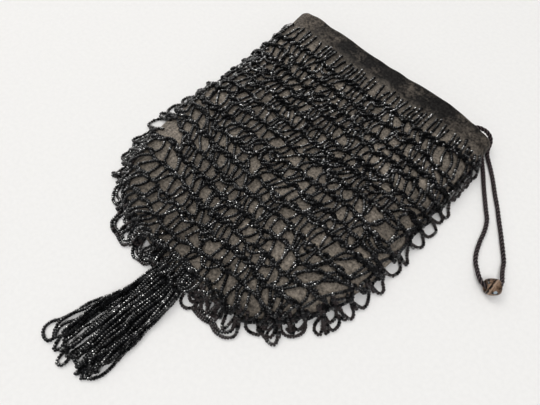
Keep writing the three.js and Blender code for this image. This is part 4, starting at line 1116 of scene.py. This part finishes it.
# ------------------------------------------------------------------ the tassel
def tassel():
    r = np.random.default_rng(5)
    strings = Strings()
    levels = np.array([-57.0, -64.0, -72.0, -80.0, -88.0, -96.0, -104.0, -110.0, -116.0])
    left = np.array([-6.5, -10.4, -11.7, -12.6, -13.6, -14.6, -15.8, -16.4, -17.0])
    right_ = np.array([6.5, 10.4, 11.8, 12.2, 12.4, 12.6, 12.8, 12.8, 12.4])

    def strand(f, z, wander, last):
        w, v = wave(int(r.integers(1e6)), 20, 64), wave(int(r.integers(1e6)), 9, 22)
        y = np.append(levels[:-1], [levels[-1]]) if last > levels[-1] - 1 else np.append(levels, last)
        f = np.clip(f + r.normal(0, 0.085) * smooth01((-64 - y) / 40), 0.0, 1.0)
        x = np.interp(-y, -levels, left) * (1 - f) + np.interp(-y, -levels, right_) * f + wander * w(y) * smooth01((-60 - y) / 30) + 0.9 * v(y) * smooth01((-100 - y) / 18)
        zz = z + r.normal(0, 0.3) + 0.55 * np.sin(y * 0.11 + f * 9) + np.interp(y, [-70, -57], [0, 1.2])
        return np.stack([x, y, np.maximum(zz, 0.95)], -1)

    for layer, (z, n) in enumerate(((0.95, 14), (2.5, 14), (4.1, 13))):
        fs = (np.arange(n) + 0.5 + r.uniform(-0.2, 0.2, n)) / n
        for i in range(0, n - 1, 2):
            end = -121.0 - r.uniform(-3.0, 4.5) - (1.5 if 0.2 < fs[i] < 0.6 else 0) + 1.3 * layer
            a, b = strand(fs[i], z, 1.0, end), strand(fs[i + 1], z, 1.0, end)
            if r.uniform() < 0.5:
                a[-1, 0] -= r.uniform(0.2, 1.4)
                b[-1, 0] += r.uniform(0.2, 1.4)
            turn = (a[-1] + b[-1]) / 2 + np.array([r.normal(0, 0.5), -r.uniform(1.4, 2.2), -0.2])
            turn[2] = max(turn[2], 0.95)
            strings.add(catmull(np.vstack([a, turn[None], b[::-1]]), 8))
        if n % 2:
            strings.add(catmull(strand(fs[-1], z, 1.0, -121.0), 8))
    # strings that have slipped out of the bundle, to the left and to the right
    strings.add(catmull([(-6, -58, 3.4), (-10.6, -72, 2.0), (-13.0, -82, 1.4), (-15.4, -88, 1.0), (-18.4, -94, 0.95), (-20.8, -100, 0.95), (-22.2, -108, 0.95),
                         (-24.2, -114.5, 0.95), (-26.9, -119.8, 0.95), (-26.7, -123.8, 0.95), (-24.0, -126.2, 0.95), (-20.6, -126.6, 0.95), (-18.8, -124.2, 1.2),
                         (-21.4, -120.6, 1.8), (-23.0, -116.4, 2.2), (-22.0, -110.0, 2.4), (-19.4, -103.6, 2.4), (-16.6, -97.4, 2.4), (-14.0, -89.0, 2.8), (-11.0, -76.0, 3.4), (-7.0, -60.0, 4.4)], 8))
    strings.add(catmull([(-5, -58, 4.0), (-10.0, -74, 2.6), (-13.8, -90, 1.8), (-16.6, -98.4, 1.2), (-16.4, -105, 1.0), (-18.8, -110.6, 0.95), (-21.0, -115.6, 1.2),
                         (-20.4, -120.2, 1.8), (-18.4, -122.6, 2.0), (-16.6, -119.2, 1.6), (-15.8, -110.0, 1.6), (-14.2, -96.0, 2.0), (-9.5, -72.0, 3.6), (-4.0, -59.0, 4.6)], 8))
    strings.add(catmull([(7, -59, 4.4), (10.6, -78, 2.2), (12.2, -96, 1.2), (13.4, -108, 0.95), (13.8, -115, 0.95), (12.8, -119.6, 0.95), (10.6, -122.8, 0.95),
                         (8.2, -124.2, 0.95), (7.0, -121.6, 1.4), (9.2, -116.0, 1.8), (11.0, -108.0, 2.0), (10.6, -94.0, 2.6), (9.0, -76.0, 3.6), (5.0, -59.0, 4.8)], 8))
    # one long loop below the rest
    strings.add(catmull([(-3, -60, 4.2), (-5.0, -84, 4.6), (-6.6, -106, 3.8), (-8.4, -120, 2.0), (-9.0, -127.2, 1.0), (-7.2, -129.6, 0.95), (-4.8, -128.6, 0.95),
                         (-4.6, -121, 2.2), (-3.6, -104, 4.2), (-2.0, -84, 5.0), (-0.5, -60, 4.6)], 8))
    strings.build("tassel_strings", "tassel", 6, share=[0.26, 0.08, 0.14, 0.02, 0.11, 0.0, 0.39])
    return strings


tassel_strings = tassel()

def grey_share_front(c):
    """The share of greyer beads grows down the bag and to the left."""
    return 0.36 * smooth01((75.0 - c[:, 1]) / 70.0) * (1.0 + 0.5 * smooth01((-c[:, 0] - 15.0) / 40.0))


for part, name, seed in zip(front_parts, ("net_front_1", "net_front_2", "net_front_3", "net_front_4"), (51, 52, 53, 55)):
    part.build(name, "bead_net_front", seed, grey_share=grey_share_front)
back_part.build("net_back", "bead_net_back", 54, PLAIN, 4, 0.03)

# ------------------------------------------------------------------ table and light
floor_material, tree, b = node_material("pale_table")
noise = tree.nodes.new("ShaderNodeTexNoise")
noise.inputs["Scale"].default_value = 420
noise.inputs["Detail"].default_value = 4
ramp = tree.nodes.new("ShaderNodeValToRGB")
ramp.color_ramp.elements[0].color = (0.80, 0.789, 0.770, 1)
ramp.color_ramp.elements[1].color = (0.875, 0.863, 0.842, 1)
coord = tree.nodes.new("ShaderNodeTexCoord")
tree.links.new(coord.outputs["Object"], noise.inputs["Vector"])
tree.links.new(noise.outputs["Fac"], ramp.inputs[0])
tree.links.new(ramp.outputs[0], b.inputs["Base Color"])
b.inputs["Roughness"].default_value = 0.9
b.inputs["Specular IOR Level"].default_value = 0.15
floor = make_mesh("table_top", np.array([(-3000, -3000, 0), (3000, -3000, 0), (3000, 3000, 0), (-3000, 3000, 0)], float), np.array([[0, 1, 2, 3]]), floor_material)


def area_light(name, at, look, size, power, color, seen_by):
    d = bpy.data.lights.new(name, "AREA")
    d.shape, d.size, d.energy, d.color = "DISK", size, power, color
    o = bpy.data.objects.new(name, d)
    o.location = at
    o.rotation_euler = (Vector(look) - Vector(at)).to_track_quat("-Z", "Y").to_euler()
    o.visible_glossy, o.visible_diffuse = seen_by == "gloss", seen_by == "matt"
    bpy.context.scene.collection.objects.link(o)


# Broad soft lamps light the cloth and the table; two small ones only glint in the glass.
area_light("key", (-1.20, 0.35, 1.70), (0.02, 0, 0), 1.2, 12.0, (1.0, 0.985, 0.96), "matt")
area_light("fill", (0.80, -0.70, 2.10), (0, 0, 0), 1.0, 18.0, (0.97, 0.98, 1.0), "matt")
area_light("overhead", (-0.10, 0.30, 2.40), (0, 0, 0), 2.2, 11.0, (1.0, 0.99, 0.97), "matt")
area_light("glint_left", (-1.72, 0.56, 1.10), (0.02, 0, 0), 0.45, 44.0, (1.0, 0.985, 0.96), "gloss")
area_light("glint_front", (-0.20, -1.10, 1.70), (0, 0, 0), 0.25, 1.6, (1.0, 1.0, 1.0), "gloss")
area_light("glint_back", (0.20, 1.50, 1.30), (0, 0, 0), 0.35, 2.5, (1.0, 1.0, 1.0), "gloss")

world = bpy.data.worlds.new("studio")
world.use_nodes = True
world.node_tree.nodes["Background"].inputs["Color"].default_value = (0.98, 0.985, 1.0, 1)
world.node_tree.nodes["Background"].inputs["Strength"].default_value = 0.45
world.cycles_visibility.glossy = False
bpy.context.scene.world = world
bpy.context.scene.view_settings.view_transform = "Standard"

# ------------------------------------------------------------------ sizes, for comparing
print("beads", {"front": [p.count() for p in front_parts], "back": back_part.count(), "right": loops_right.count(), "left": loops_left.count(), "tassel": tassel_strings.count()})
